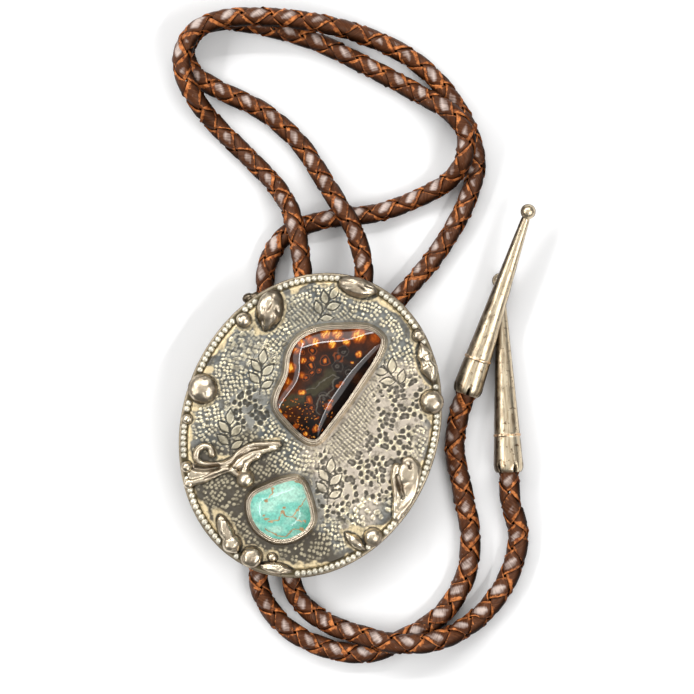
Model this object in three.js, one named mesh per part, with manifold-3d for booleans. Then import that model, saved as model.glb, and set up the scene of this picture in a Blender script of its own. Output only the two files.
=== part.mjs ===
// A bolo tie laid out flat: an oval silver slide with two stones, a braided leather cord and two metal tips.
// Millimetres, +Z up. The origin is on the supporting surface, under the centre of the slide.
import * as THREE from "three";
import { mergeGeometries, mergeVertices } from "three/addons/utils/BufferGeometryUtils.js";
import Module from "manifold-3d";

const wasm = await Module();
wasm.setup();

// Cord
const CORD_DIAMETER = 5.6;
const CORD_SIDES = 10;
const CORD_STEPS = 80;
const CROSSING_GAP = 0.5; // clear height between two strands that cross

// Plate
const PLATE_LENGTH = 91;
const PLATE_WIDTH = 75;
const PLATE_THICKNESS = 1.4;
const PLATE_LEAN = 20; // degrees that the long axis leans to the right
const PLATE_SEGMENTS = 64;
const OVERLAY_THICKNESS = 0.5;
const FLANGE_WIDTH = 2.7; // bare edge outside the stamped overlay, where the bead border sits

// Bead border
const BEAD_DIAMETER = 1.56;
const BEAD_PITCH = 1.71;
const BEAD_SIDES = 10;
const BEAD_INSET = 1.65; // from the plate's edge to the middle of the beads

// Stones and their bezels
const AMBER_LENGTH = 38.4;
const AMBER_WIDTH = 26.4;
const AMBER_HEIGHT = 5.6;
const TURQUOISE_LENGTH = 20.3;
const TURQUOISE_WIDTH = 20.7;
const TURQUOISE_HEIGHT = 5.2;
const BEZEL_HEIGHT = 2.9;
const BEZEL_WALL = 0.9;
const BEZEL_LEAN = 0.35; // how far the top of the wall is pushed in over the stone
const OUTLINE_SEGMENTS = 44;

// Wire and castings
const ROD_SIDES = 7;
const CASTING_SHEET = 1.5;
const EYE_DIAMETER = 2.3;

// Clip behind the plate that holds the cord
const CLIP_WIDTH = 21;
const CLIP_LENGTH = 24;
const CLIP_LEAN = 12;
const CLIP_CHANNEL_SPACING = 11;
const CLIP_ROOF = 1.2; // metal between the channels and the plate
const CLIP_PLACE = [-2, -1];

// Tips
const TIP_LENGTH = 59;
const TIP_WALL = 1.35;
const TIP_SOCKET_DEPTH = 11;
const TIP_NECK_DIAMETER = 2.3;
const TIP_BALL_DIAMETER = 4.5;
const TIP_SIDES = 24;
const TIP_TABS = 5;
const TIP_TAB_LENGTH = 3.2;
const TIP_TAB_SLOT = 0.9;
const TIP_SEAM_HEIGHT = 0.25;

// Clearances
const SEAT_GAP = 0.3; // between pieces that touch on the real object
const CORD_CLEARANCE = 0.35; // around the cord in a channel or a socket
const LAP = 0.4; // how deep one body is sunk into another before they are joined

const CORD_RADIUS = CORD_DIAMETER / 2;
const LAYER = CORD_DIAMETER + CROSSING_GAP;
const SLIDE_BACK = CORD_DIAMETER + LAYER + SEAT_GAP;
const FACE = PLATE_THICKNESS + OVERLAY_THICKNESS;
const SEMI_X = PLATE_WIDTH / 2;
const SEMI_Y = PLATE_LENGTH / 2;
const BORE_RADIUS = CORD_RADIUS + CORD_CLEARANCE;
const CLIP_DEPTH = SLIDE_BACK - SEAT_GAP;
const CHANNEL_HEIGHT = CLIP_DEPTH - CLIP_ROOF - BORE_RADIUS;
const TIP_MOUTH_RADIUS = BORE_RADIUS + TIP_WALL;
const TIP_BALL_RADIUS = TIP_BALL_DIAMETER / 2;
const TIP_SHAFT = TIP_LENGTH - TIP_BALL_RADIUS; // mouth to the middle of the ball

const radians = THREE.MathUtils.degToRad;

// Outlines as shares of the stone's width and length, clockwise from the upper left.
const AMBER_OUTLINE = [
  [-0.3, 0.344], [0, 0.443], [0.27, 0.498], [0.46, 0.455], [0.498, 0.37], [0.396, 0.013], [0.244, -0.352],
  [0.165, -0.475], [0.06, -0.5], [-0.203, -0.44], [-0.43, -0.336], [-0.47, -0.235], [-0.453, -0.07],
  [-0.498, 0.089], [-0.455, 0.225],
];
const TURQUOISE_OUTLINE = [
  [0.031, 0.5], [0.165, 0.475], [0.389, 0.219], [0.5, -0.002], [0.472, -0.18], [0.297, -0.401],
  [0.075, -0.5], [-0.2, -0.451], [-0.389, -0.303], [-0.495, -0.081], [-0.474, 0.067], [-0.316, 0.249],
  [-0.118, 0.42],
];
const STONES = [
  { name: "amber_stone", outline: AMBER_OUTLINE, width: AMBER_WIDTH, length: AMBER_LENGTH,
    height: AMBER_HEIGHT, place: [-0.015, 0.31] },
  { name: "turquoise_stone", outline: TURQUOISE_OUTLINE, width: TURQUOISE_WIDTH, length: TURQUOISE_LENGTH,
    height: TURQUOISE_HEIGHT, place: [0.01, -0.56] },
];

// Rings of a stone's dome: share of the outline and share of the height above the bezel.
const DOME_RINGS = [
  { share: 1, rise: 0 },
  { share: 0.93, rise: 0.42 },
  { share: 0.8, rise: 0.74 },
  { share: 0.58, rise: 0.93 },
  { share: 0.3, rise: 0.99 },
];

// Melted silver drops round the edge: the angle clockwise from the plate's top end, the inset of the middle
// from the plate's edge, the size along the edge, across it and up, and the turn from the edge's direction.
const DROPS = [
  { around: -1, inset: 2.9, along: 11.6, across: 6, up: 3.2, turn: 3 },
  { around: -46, inset: 5, along: 8.4, across: 8.8, up: 3.6, turn: 10 },
  { around: -51, inset: 9.2, along: 4.4, across: 4.2, up: 2.2, turn: 20 },
  { around: -58, inset: 3.6, along: 4.4, across: 4.4, up: 2.6, turn: 0 },
  { around: -91, inset: 4.4, along: 8.8, across: 8.6, up: 3.6, turn: 0 },
  { around: -104, inset: 2.1, along: 3.1, across: 3.1, up: 1.9, turn: 0 },
  { around: -123, inset: 2, along: 3.6, across: 3.5, up: 2.4, turn: 0 },
  { around: 35.5, inset: 1.9, along: 3.6, across: 3.5, up: 2.2, turn: 0 },
  { around: 44, inset: 2.4, along: 7.6, across: 4.9, up: 2.9, turn: 0 },
  { around: 54, inset: 2.3, along: 7, across: 4.5, up: 2.6, turn: 4 },
  { around: 64, inset: 3, along: 7, across: 7, up: 3.4, turn: 0 },
  { around: 125, inset: 3, along: 5.6, across: 5.6, up: 3, turn: 0 },
  { around: 134, inset: 5.6, along: 6.2, across: 3.2, up: 1.8, turn: 35 },
  { around: -155, inset: 5.8, along: 5.4, across: 4.7, up: 2.8, turn: -25 },
  { around: -163, inset: 3.2, along: 6.6, across: 5.1, up: 3, turn: -25 },
  { around: -175, inset: 3.4, along: 6.5, across: 6.5, up: 3.3, turn: 0 },
  { around: 175, inset: 5.4, along: 3, across: 2.8, up: 1.6, turn: 0 },
  { around: 172, inset: 2.5, along: 10, across: 3.4, up: 2.3, turn: 0 },
];
const DROP_SIDES = 11;
const DROP_RINGS = 7;
const DROP_UNEVENNESS = 0.05;

// Cast twig on the left: rods through points in millimetres from the place where it sits on the plate.
const TWIG_PLACE = { around: -130, inset: 8 };
const TWIG_RODS = [
  { radius: 0.95, end: 0.8, points: [[-0.9, 5.6], [-2.7, 8], [-4.4, 7.9], [-5.8, 6.2], [-5.4, 3.9], [-3.3, 2.8],
    [-0.8, 3.4], [2.8, 5], [4.6, 6.9], [6, 10], [8.4, 12.7], [11.8, 14.4], [16.8, 16.2]] },
  { radius: 1.25, end: 0.6, points: [[5.5, 4.5], [6.9, 7.4], [8.7, 10.3], [11.7, 12.2], [16, 15.1]] },
  { radius: 1.3, end: 0.8, points: [[10.3, 3], [8.6, 6.1], [9.4, 9], [12.1, 11.2]] },
  { radius: 1.2, end: 0.8, points: [[-4.7, -3.7], [-1.2, -1.2], [1.7, 1.8], [4.7, 3.9], [8.1, 3.2]] },
];
const TWIG_BALL = { x: 10.3, y: 3, along: 5.4, across: 5.4, up: 3.2 };
const TWIG_WEB = { x: -2.6, y: 0.6, along: 9, across: 6.4, up: 1.2 };

// Cast leaf folded over itself on the right, with an eye and a slot.
const FOLD_PLACE = { around: 100, inset: 4.5 };
const FOLD_RODS = [
  { radius: 1.1, end: 0.9, points: [[-3.4, 5.8], [-2.1, 7.5], [-0.1, 7], [1.6, 4], [2.4, 0.2], [2.2, -3.9],
    [1, -7.2], [0.3, -9.4]] },
  { radius: 1.2, end: 0.7, points: [[-4.9, 5.6], [-4.2, 1.7], [-2.3, -2.1], [-1.1, -6.4], [-0.3, -8.8]] },
];
const FOLD_SHEETS = [
  { x: -1.2, y: 4, along: 9, across: 8.4, up: CASTING_SHEET },
  { x: -0.1, y: -2.4, along: 14, across: 5.6, up: CASTING_SHEET },
];
const FOLD_EYE = { x: -1, y: 4.9, diameter: EYE_DIAMETER };

// Small lump of the finding that shows past the plate's upper left edge.
const FINDING_END = { around: -52, inset: -0.4, length: 6.4, thickness: 2.4 };

// Where each tip lies: the middle of its mouth and the direction that it points in, in plan.
const TIP_LEFT = { mouth: [45.9, 9.1, 4.1], bearing: 18.5 };
const TIP_RIGHT = { mouth: [58.5, -14.1, 4.56], bearing: -2.6 };

// The cord's route as it lies: x, y and how far it is lifted, from 0 on the surface to 1 on top of another
// strand. It runs from the left tip to the clip, round the neck loop and back, and on to the right tip.
const LEFT_TAIL = [
  [42.6, -7, 0], [45, -20, 0], [47.2, -33, 0], [45.6, -45.5, 0], [38.5, -56.5, 0], [28, -63.2, 0],
  [17, -67.6, 0], [4, -66, 0], [-7.5, -59.8, 0], [-14.6, -50, 0], [-15.4, -39, 0.12],
];
const NECK_LOOP = [
  [-1.9, 25, 1], [-1.5, 36, 1], [-2.4, 46, 1], [-5, 60.5, 1], [-9.6, 69.6, 0.2], [-18, 78.6, 0],
  [-27.5, 88, 0], [-34, 96.2, 0.75], [-37.8, 105.5, 1], [-35.4, 114.2, 1], [-27, 119, 1], [-12, 119.8, 1],
  [3.7, 117.9, 0.8], [17.5, 114.4, 0], [30, 108, 0], [39.3, 99.4, 0], [46.2, 88, 0], [49, 77.5, 0],
  [46.2, 66.3, 0], [39, 53, 0], [28.8, 40.3, 0], [14.6, 26.6, 0], [4.5, 22.7, 0], [-5, 25.8, 0],
  [-12, 35, 0], [-13.2, 46, 0], [-7.5, 56, 0], [4, 60.5, 0], [20, 62.7, 0], [33, 67.5, 0],
  [40.8, 72, 0.35], [44.9, 77.8, 0.95], [45.6, 85.2, 1], [41.6, 91.4, 1], [31.5, 98, 0.15],
  [16.5, 106.1, 0], [1.6, 113.2, 0], [-14.3, 117.8, 0], [-27, 119.3, 0], [-33.7, 116.9, 0],
  [-36.9, 110.6, 0], [-35.1, 104.4, 0], [-28.8, 99.9, 0], [-14, 92.5, 0], [-3.2, 83, 0],
  [3.4, 73, 0.25], [7.6, 66, 0.9], [12.6, 57.5, 1], [15.7, 45.3, 1], [13.5, 34, 1], [10.4, 24, 1],
];
const RIGHT_TAIL = [
  [-5.6, -39, 0.12], [-4.6, -50, 0], [3.5, -58, 0], [14, -61.8, 0.5], [26, -64.2, 1], [37.5, -63.4, 0.8],
  [49.5, -57.2, 0], [58.3, -45.5, 0], [61.4, -33, 0],
];

// Materials
const silver = new THREE.MeshStandardMaterial({ color: 0xb4a894, roughness: 0.38, metalness: 0.9 });
const amber = new THREE.MeshStandardMaterial({ color: 0x2a1206, roughness: 0.08, metalness: 0 });
const turquoise = new THREE.MeshStandardMaterial({ color: 0x74c9bb, roughness: 0.2, metalness: 0 });
const leather = new THREE.MeshStandardMaterial({ color: 0x46281a, roughness: 0.5, metalness: 0 });
const brightSilver = new THREE.MeshStandardMaterial({ color: 0xb8a98c, roughness: 0.3, metalness: 0.95 });

// A closed three.js geometry as a solid, and a solid as a geometry.
function solidOf(geometry) {
  const bare = geometry.clone();
  bare.deleteAttribute("normal");
  bare.deleteAttribute("uv");
  const merged = mergeVertices(bare, 1e-4);
  return new wasm.Manifold(
    new wasm.Mesh({
      numProp: 3,
      vertProperties: new Float32Array(merged.attributes.position.array),
      triVerts: new Uint32Array(merged.index.array),
    }),
  );
}

function geometryOf(solid) {
  const mesh = solid.getMesh();
  const geometry = new THREE.BufferGeometry();
  geometry.setAttribute("position", new THREE.BufferAttribute(mesh.vertProperties, 3));
  geometry.setIndex(new THREE.BufferAttribute(mesh.triVerts, 1));
  geometry.computeVertexNormals();
  return geometry;
}

function join(geometries) {
  return geometries.map(solidOf).reduce((whole, piece) => whole.add(piece));
}

// Solder fills what is closed in between two castings, so the metal has no hidden hollow.
function withoutHollows(solid) {
  return solid
    .decompose()
    .filter((body) => body.volume() > 0)
    .reduce((whole, body) => whole.add(body));
}

// A point on the plate, from an angle clockwise from its top end and an inset from its edge.
function onPlate(around, inset) {
  const angle = radians(around);
  return new THREE.Vector2((SEMI_X - inset) * Math.sin(angle), (SEMI_Y - inset) * Math.cos(angle));
}

// The direction along the edge there, in degrees from the plate's x axis.
function edgeDirection(around) {
  const angle = radians(around);
  return THREE.MathUtils.radToDeg(Math.atan2(-SEMI_Y * Math.sin(angle), SEMI_X * Math.cos(angle)));
}

// Rings of equally many points joined into a closed skin. Rings that loop make a hollow band, and the
// others are closed by a fan at each end.
function skin(rings, loops) {
  const count = rings[0].length;
  const points = rings.flat();
  const faces = [];
  const bands = loops ? rings.length : rings.length - 1;
  for (let ring = 0; ring < bands; ring++) {
    const low = ring * count;
    const high = ((ring + 1) % rings.length) * count;
    for (let i = 0; i < count; i++) {
      const next = (i + 1) % count;
      faces.push(low + i, low + next, high + next, low + i, high + next, high + i);
    }
  }
  if (!loops) {
    const middle = (ring) =>
      ring.reduce((sum, p) => sum.clone().add(p), new THREE.Vector3()).divideScalar(count);
    const first = points.push(middle(rings[0])) - 1;
    const last = points.push(middle(rings[rings.length - 1])) - 1;
    const top = (rings.length - 1) * count;
    for (let i = 0; i < count; i++) {
      const next = (i + 1) % count;
      faces.push(first, next, i, last, top + i, top + next);
    }
  }
  const geometry = new THREE.BufferGeometry().setFromPoints(points);
  geometry.setIndex(faces);
  return geometry;
}

// A flat oval slab with its top edge rounded off.
function ovalSlab(inset, bottom, thickness, round) {
  const ring = (extra, z) =>
    Array.from({ length: PLATE_SEGMENTS }, (_, i) => {
      const point = onPlate((-360 * i) / PLATE_SEGMENTS, inset + extra);
      return new THREE.Vector3(point.x, point.y, z);
    });
  const top = bottom + thickness;
  return skin([ring(0, bottom), ring(0, top - round), ring(round, top)], false);
}

// A low rounded drop of metal, a little uneven, sunk into the face that it is soldered to.
function drop({ x, y, along, across, up, turn = 0 }, seed) {
  const geometry = new THREE.SphereGeometry(1, DROP_SIDES, DROP_RINGS);
  geometry.rotateX(Math.PI / 2);
  const position = geometry.attributes.position;
  const point = new THREE.Vector3();
  for (let i = 0; i < position.count; i++) {
    point.fromBufferAttribute(position, i);
    const lump = Math.sin(3 * point.x + seed) + Math.sin(4 * point.y + 2 * seed) + Math.sin(3 * point.z - seed);
    point.multiplyScalar(1 + DROP_UNEVENNESS * lump);
    position.setXYZ(i, point.x, point.y, point.z);
  }
  geometry.scale(along / 2, across / 2, up * 0.75);
  geometry.rotateZ(radians(turn));
  geometry.translate(x, y, PLATE_THICKNESS + up * 0.35);
  return geometry;
}

// A rod of changing thickness through points on the plate, with a domed point at each end.
function rod({ radius, end, points }, place) {
  const height = PLATE_THICKNESS + OVERLAY_THICKNESS + radius * 0.45;
  const curve = new THREE.CatmullRomCurve3(
    points.map(([x, y]) => new THREE.Vector3(place.x + x, place.y + y, height)),
  );
  const steps = points.length * 2;
  const rings = [];
  for (let i = 0; i <= steps; i++) {
    const share = i / steps;
    const centre = curve.getPointAt(share);
    const ahead = curve.getTangentAt(share);
    const across = new THREE.Vector3(-ahead.y, ahead.x, 0).normalize();
    const thin = share < 0.5 ? 1 : THREE.MathUtils.lerp(1, end, (share - 0.5) * 2);
    const edge = i === 0 || i === steps ? 0.6 : 1;
    rings.push(
      Array.from({ length: ROD_SIDES }, (_, k) => {
        const angle = (2 * Math.PI * k) / ROD_SIDES;
        const reach = radius * thin * edge;
        const point = centre.clone().addScaledVector(across, Math.cos(angle) * reach);
        point.z += Math.sin(angle) * reach;
        return point;
      }),
    );
  }
  return skin(rings, false);
}

function beadBorder(drops) {
  const ringLength = new THREE.EllipseCurve(0, 0, SEMI_X - BEAD_INSET, SEMI_Y - BEAD_INSET);
  const count = Math.round(ringLength.getLength() / BEAD_PITCH);
  const radius = BEAD_DIAMETER / 2;
  const beads = [];
  for (const point of ringLength.getSpacedPoints(count).slice(0, count)) {
    const covered = drops.some(({ x, y, along, across }) => {
      const reach = (along + across) / 4 + radius * 0.6;
      return Math.hypot(point.x - x, point.y - y) < reach;
    });
    if (covered) continue;
    const profile = [[radius, -LAP], [radius * 0.86, radius * 0.65]];
    const rings = profile.map(([r, z]) =>
      Array.from({ length: BEAD_SIDES }, (_, k) => {
        const angle = (2 * Math.PI * k) / BEAD_SIDES;
        return new THREE.Vector3(
          point.x + r * Math.cos(angle), point.y + r * Math.sin(angle), PLATE_THICKNESS + z,
        );
      }),
    );
    const bead = skin(rings, false);
    const crown = bead.attributes.position;
    crown.setZ(crown.count - 1, PLATE_THICKNESS + radius * 1.2);
    beads.push(bead);
  }
  return beads;
}

// A stone's outline in the plate's frame, moved in by a distance.
function outlineOf({ outline, width, length, place }, inset) {
  const curve = new THREE.CatmullRomCurve3(
    outline.map(([x, y]) => new THREE.Vector3(x * width, y * length, 0)), true,
  );
  const points = curve.getSpacedPoints(OUTLINE_SEGMENTS).slice(0, OUTLINE_SEGMENTS).reverse();
  return points.map((point, i) => {
    const before = points[(i + OUTLINE_SEGMENTS - 1) % OUTLINE_SEGMENTS];
    const after = points[(i + 1) % OUTLINE_SEGMENTS];
    const ahead = after.clone().sub(before).normalize();
    return new THREE.Vector2(
      place[0] * SEMI_X + point.x - ahead.y * inset,
      place[1] * SEMI_Y + point.y + ahead.x * inset,
    );
  });
}

function atHeight(outline, z) {
  return outline.map((p) => new THREE.Vector3(p.x, p.y, z));
}

function bezel(stone) {
  const top = FACE + BEZEL_HEIGHT;
  const rings = [
    atHeight(outlineOf(stone, 0), PLATE_THICKNESS),
    atHeight(outlineOf(stone, 0), top - BEZEL_LEAN * 2),
    atHeight(outlineOf(stone, BEZEL_LEAN), top),
    atHeight(outlineOf(stone, BEZEL_WALL), top - BEZEL_LEAN),
    atHeight(outlineOf(stone, BEZEL_WALL), PLATE_THICKNESS),
  ];
  return skin(rings, true);
}

function stoneGeometry(stone) {
  const girdle = outlineOf(stone, BEZEL_WALL + SEAT_GAP);
  const middle = new THREE.Vector2(stone.place[0] * SEMI_X, stone.place[1] * SEMI_Y);
  const shoulder = FACE + BEZEL_HEIGHT - SEAT_GAP;
  const dome = FACE + stone.height - shoulder;
  const rings = [atHeight(girdle, FACE + SEAT_GAP)];
  for (const { share, rise } of DOME_RINGS) {
    const ring = girdle.map((p) => middle.clone().lerp(p, share));
    rings.push(atHeight(ring, shoulder + dome * rise));
  }
  return skin(rings, false);
}

function slidePlate() {
  const drops = DROPS.map((row) => {
    const { x, y } = onPlate(row.around, row.inset);
    return { ...row, x, y, turn: edgeDirection(row.around) + row.turn };
  });
  const twigPlace = onPlate(TWIG_PLACE.around, TWIG_PLACE.inset);
  const foldPlace = onPlate(FOLD_PLACE.around, FOLD_PLACE.inset);
  const shift = (form, place, turn = 0) => ({ ...form, x: place.x + form.x, y: place.y + form.y, turn });
  const twigEnd = twigPlace.clone().add(new THREE.Vector2(...TWIG_RODS[3].points[0]));
  const covering = [
    ...drops,
    { x: twigEnd.x, y: twigEnd.y, along: 4, across: 4 },
    ...FOLD_RODS[0].points.map(([x, y]) => ({ x: foldPlace.x + x, y: foldPlace.y + y, along: 5, across: 5 })),
  ];

  const finding = onPlate(FINDING_END.around, FINDING_END.inset);
  const findingEnd = new THREE.SphereGeometry(1, 10, 6);
  findingEnd.scale(FINDING_END.length / 2, FINDING_END.thickness / 2, FINDING_END.thickness / 2);
  findingEnd.rotateZ(radians(edgeDirection(FINDING_END.around)));
  findingEnd.translate(finding.x, finding.y, FINDING_END.thickness / 2 - LAP);

  let fold = join([
    ...FOLD_SHEETS.map((sheet, i) => drop(shift(sheet, foldPlace, 85), 4 + i)),
    ...FOLD_RODS.map((row) => rod(row, foldPlace)),
  ]);
  const eye = new THREE.CylinderGeometry(FOLD_EYE.diameter / 2, FOLD_EYE.diameter / 2, 8, 12);
  eye.rotateX(Math.PI / 2);
  eye.translate(foldPlace.x + FOLD_EYE.x, foldPlace.y + FOLD_EYE.y, 0);
  fold = fold.subtract(solidOf(eye));

  const metal = join([
    ovalSlab(0, 0, PLATE_THICKNESS, 0.35),
    ovalSlab(FLANGE_WIDTH, PLATE_THICKNESS - LAP, OVERLAY_THICKNESS + LAP, 0.2),
    ...STONES.map(bezel),
    ...drops.map((row, i) => drop(row, i)),
    ...TWIG_RODS.map((row) => rod(row, twigPlace)),
    drop(shift(TWIG_BALL, twigPlace), 2),
    drop(shift(TWIG_WEB, twigPlace, 35), 3),
    findingEnd,
    mergeGeometries(beadBorder(covering)),
  ]);
  return geometryOf(withoutHollows(metal.add(fold).subtract(backTrim())));
}

// Everything below the plate's flat back, which the drops at the edge must not pass.
function backTrim() {
  const trim = new THREE.BoxGeometry(2 * PLATE_WIDTH, 2 * PLATE_LENGTH, PLATE_THICKNESS * 4);
  trim.translate(0, 0, -PLATE_THICKNESS * 2);
  return solidOf(trim);
}

// The clip: a block with two channels that the cord is pushed through.
function clipGeometry() {
  const shape = new THREE.Shape();
  const corner = 2;
  const halfWidth = CLIP_WIDTH / 2;
  shape.moveTo(-halfWidth + corner, 0);
  shape.lineTo(halfWidth - corner, 0);
  shape.quadraticCurveTo(halfWidth, 0, halfWidth, corner);
  shape.lineTo(halfWidth, CLIP_DEPTH);
  shape.lineTo(-halfWidth, CLIP_DEPTH);
  shape.lineTo(-halfWidth, corner);
  shape.quadraticCurveTo(-halfWidth, 0, -halfWidth + corner, 0);
  for (const side of [-1, 1]) {
    const channel = new THREE.Path();
    channel.absarc((side * CLIP_CHANNEL_SPACING) / 2, CHANNEL_HEIGHT, BORE_RADIUS, 0, 2 * Math.PI, true);
    shape.holes.push(channel);
  }
  const geometry = new THREE.ExtrudeGeometry(shape, {
    depth: CLIP_LENGTH, bevelEnabled: false, curveSegments: 5,
  });
  geometry.rotateX(Math.PI / 2);
  geometry.translate(0, CLIP_LENGTH / 2, 0);
  return geometry;
}

// A point in one of the clip's channels: side -1 or 1, and the distance from the clip's middle.
function inChannel(side, distance) {
  const lean = radians(CLIP_LEAN);
  const offset = (side * CLIP_CHANNEL_SPACING) / 2;
  return new THREE.Vector3(
    CLIP_PLACE[0] + offset * Math.cos(lean) + distance * Math.sin(lean),
    CLIP_PLACE[1] - offset * Math.sin(lean) + distance * Math.cos(lean),
    CHANNEL_HEIGHT,
  );
}

// A tip stands along +Y from its mouth at the origin. The profile goes from the socket's end, out over
// the mouth and along the outside to the ball.
function tipGeometry() {
  const neck = TIP_NECK_DIAMETER / 2;
  const seam = TIP_SOCKET_DEPTH;
  const widthAt = (along) => THREE.MathUtils.lerp(TIP_MOUTH_RADIUS, neck, along / TIP_SHAFT);
  const profile = [
    [0, TIP_SOCKET_DEPTH - 1], [BORE_RADIUS, TIP_SOCKET_DEPTH - 1], [BORE_RADIUS, 0],
    [BORE_RADIUS + 0.35, 0], [widthAt(TIP_TAB_LENGTH), TIP_TAB_LENGTH], [widthAt(seam - 1), seam - 1],
    [widthAt(seam) + TIP_SEAM_HEIGHT, seam - 0.5], [widthAt(seam) + TIP_SEAM_HEIGHT, seam + 0.5],
    [widthAt(seam + 1), seam + 1], [widthAt(TIP_SHAFT * 0.6), TIP_SHAFT * 0.6],
    [neck, TIP_SHAFT - TIP_BALL_RADIUS * 1.2],
  ];
  const ballStart = Math.asin(Math.min(1, neck / TIP_BALL_RADIUS));
  for (let i = 0; i <= 6; i++) {
    const angle = THREE.MathUtils.lerp(Math.PI - ballStart, 0, i / 6);
    profile.push([
      i === 6 ? 0 : TIP_BALL_RADIUS * Math.sin(angle), TIP_SHAFT + TIP_BALL_RADIUS * Math.cos(angle),
    ]);
  }
  const body = new THREE.LatheGeometry(profile.map(([r, y]) => new THREE.Vector2(r, y)), TIP_SIDES);
  let solid = solidOf(body);
  for (let tab = 0; tab < TIP_TABS; tab++) {
    const wedge = slotWedge();
    wedge.rotateY((2 * Math.PI * tab) / TIP_TABS);
    solid = solid.subtract(solidOf(wedge));
  }
  return geometryOf(solid);
}

// The open notch between two folded tabs at a tip's mouth, narrowing away from the mouth.
function slotWedge() {
  const shape = new THREE.Shape();
  shape.moveTo(-TIP_TAB_SLOT / 2, -1);
  shape.lineTo(TIP_TAB_SLOT / 2, -1);
  shape.lineTo(TIP_TAB_SLOT / 8, TIP_TAB_LENGTH);
  shape.lineTo(-TIP_TAB_SLOT / 8, TIP_TAB_LENGTH);
  const geometry = new THREE.ExtrudeGeometry(shape, { depth: TIP_MOUTH_RADIUS * 1.5, bevelEnabled: false });
  geometry.translate(0, 0, CORD_RADIUS * 0.5);
  return geometry;
}

// How a tip lies: its mouth end rests on the surface, and its axis climbs or falls by a slope.
function tipAxis({ mouth, bearing }, slope) {
  const turn = radians(bearing);
  const ahead = new THREE.Vector3(Math.sin(turn), Math.cos(turn), slope).normalize();
  const start = new THREE.Vector3(...mouth);
  return { start, ahead, at: (distance) => start.clone().addScaledVector(ahead, distance) };
}

// The right tip lies on the surface along its whole length. The left one lies across it.
const rightAxis = tipAxis(TIP_RIGHT, (TIP_BALL_RADIUS - TIP_RIGHT.mouth[2]) / TIP_SHAFT);

function leftSlope() {
  const flatLeft = tipAxis(TIP_LEFT, 0);
  const flatRight = tipAxis(TIP_RIGHT, 0);
  const between = flatRight.start.clone().sub(flatLeft.start);
  const cross = flatLeft.ahead.x * flatRight.ahead.y - flatLeft.ahead.y * flatRight.ahead.x;
  const alongLeft = (between.x * flatRight.ahead.y - between.y * flatRight.ahead.x) / cross;
  const alongRight = (between.x * flatLeft.ahead.y - between.y * flatLeft.ahead.x) / cross;
  const width = (along) =>
    THREE.MathUtils.lerp(TIP_MOUTH_RADIUS, TIP_NECK_DIAMETER / 2, Math.min(along / TIP_SHAFT, 1));
  const underTop = rightAxis.at(alongRight).z + TIP_BALL_RADIUS;
  return (underTop + SEAT_GAP + width(alongLeft) - TIP_LEFT.mouth[2]) / alongLeft;
}

const leftAxis = tipAxis(TIP_LEFT, leftSlope());

function placeAlong(mesh, { start, ahead }) {
  mesh.position.copy(start);
  mesh.quaternion.setFromUnitVectors(new THREE.Vector3(0, 1, 0), ahead);
  return mesh;
}

// The cord's centre line: a smooth curve through the route that never sinks below the surface.
class LyingCurve extends THREE.Curve {
  constructor(points) {
    super();
    this.through = new THREE.CatmullRomCurve3(points);
    this.arcLengthDivisions = 3000;
  }

  getPoint(t, target = new THREE.Vector3()) {
    this.through.getPoint(t, target);
    target.z = Math.max(target.z, CORD_RADIUS);
    return target;
  }
}

function cordRoute() {
  const lay = (rows) => rows.map(([x, y, lift]) => new THREE.Vector3(x, y, CORD_RADIUS + lift * LAYER));
  const seated = TIP_SOCKET_DEPTH - 1 - SEAT_GAP;
  const pastClip = CLIP_LENGTH / 2 + 5;
  const inClip = CLIP_LENGTH / 2 - 2;
  return [
    leftAxis.at(seated), leftAxis.at(3), leftAxis.at(0), leftAxis.at(-6),
    ...lay(LEFT_TAIL),
    inChannel(-1, -pastClip), inChannel(-1, -inClip), inChannel(-1, 0), inChannel(-1, inClip),
    ...lay(NECK_LOOP),
    inChannel(1, inClip), inChannel(1, 0), inChannel(1, -inClip), inChannel(1, -pastClip),
    ...lay(RIGHT_TAIL),
    rightAxis.at(-8), rightAxis.at(-5), rightAxis.at(0), rightAxis.at(3), rightAxis.at(seated),
  ];
}

function cordGeometry() {
  const section = new THREE.Shape();
  for (let k = 0; k < CORD_SIDES; k++) {
    const angle = (2 * Math.PI * k) / CORD_SIDES;
    const x = CORD_RADIUS * Math.cos(angle);
    const y = CORD_RADIUS * Math.sin(angle);
    if (k === 0) section.moveTo(x, y);
    else section.lineTo(x, y);
  }
  return new THREE.ExtrudeGeometry(section, {
    steps: CORD_STEPS, extrudePath: new LyingCurve(cordRoute()), bevelEnabled: false,
  });
}

function namedMesh(name, geometry, material) {
  const mesh = new THREE.Mesh(geometry, material);
  mesh.name = name;
  return mesh;
}

const slide = new THREE.Group();
slide.position.z = SLIDE_BACK;
slide.rotation.z = -radians(PLATE_LEAN);
slide.add(namedMesh("slide_plate", slidePlate(), silver));
for (const stone of STONES) {
  slide.add(namedMesh(stone.name, stoneGeometry(stone), stone.name === "amber_stone" ? amber : turquoise));
}

const clip = namedMesh("cord_clip", clipGeometry(), brightSilver);
clip.position.set(...CLIP_PLACE, 0);
clip.rotation.z = -radians(CLIP_LEAN);

const boloTie = new THREE.Group();
boloTie.add(slide, clip, namedMesh("cord", cordGeometry(), leather));
boloTie.add(placeAlong(namedMesh("tip_left", tipGeometry(), brightSilver), leftAxis));
boloTie.add(placeAlong(namedMesh("tip_right", tipGeometry(), brightSilver), rightAxis));

export default boloTie;
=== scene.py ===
import math

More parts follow.
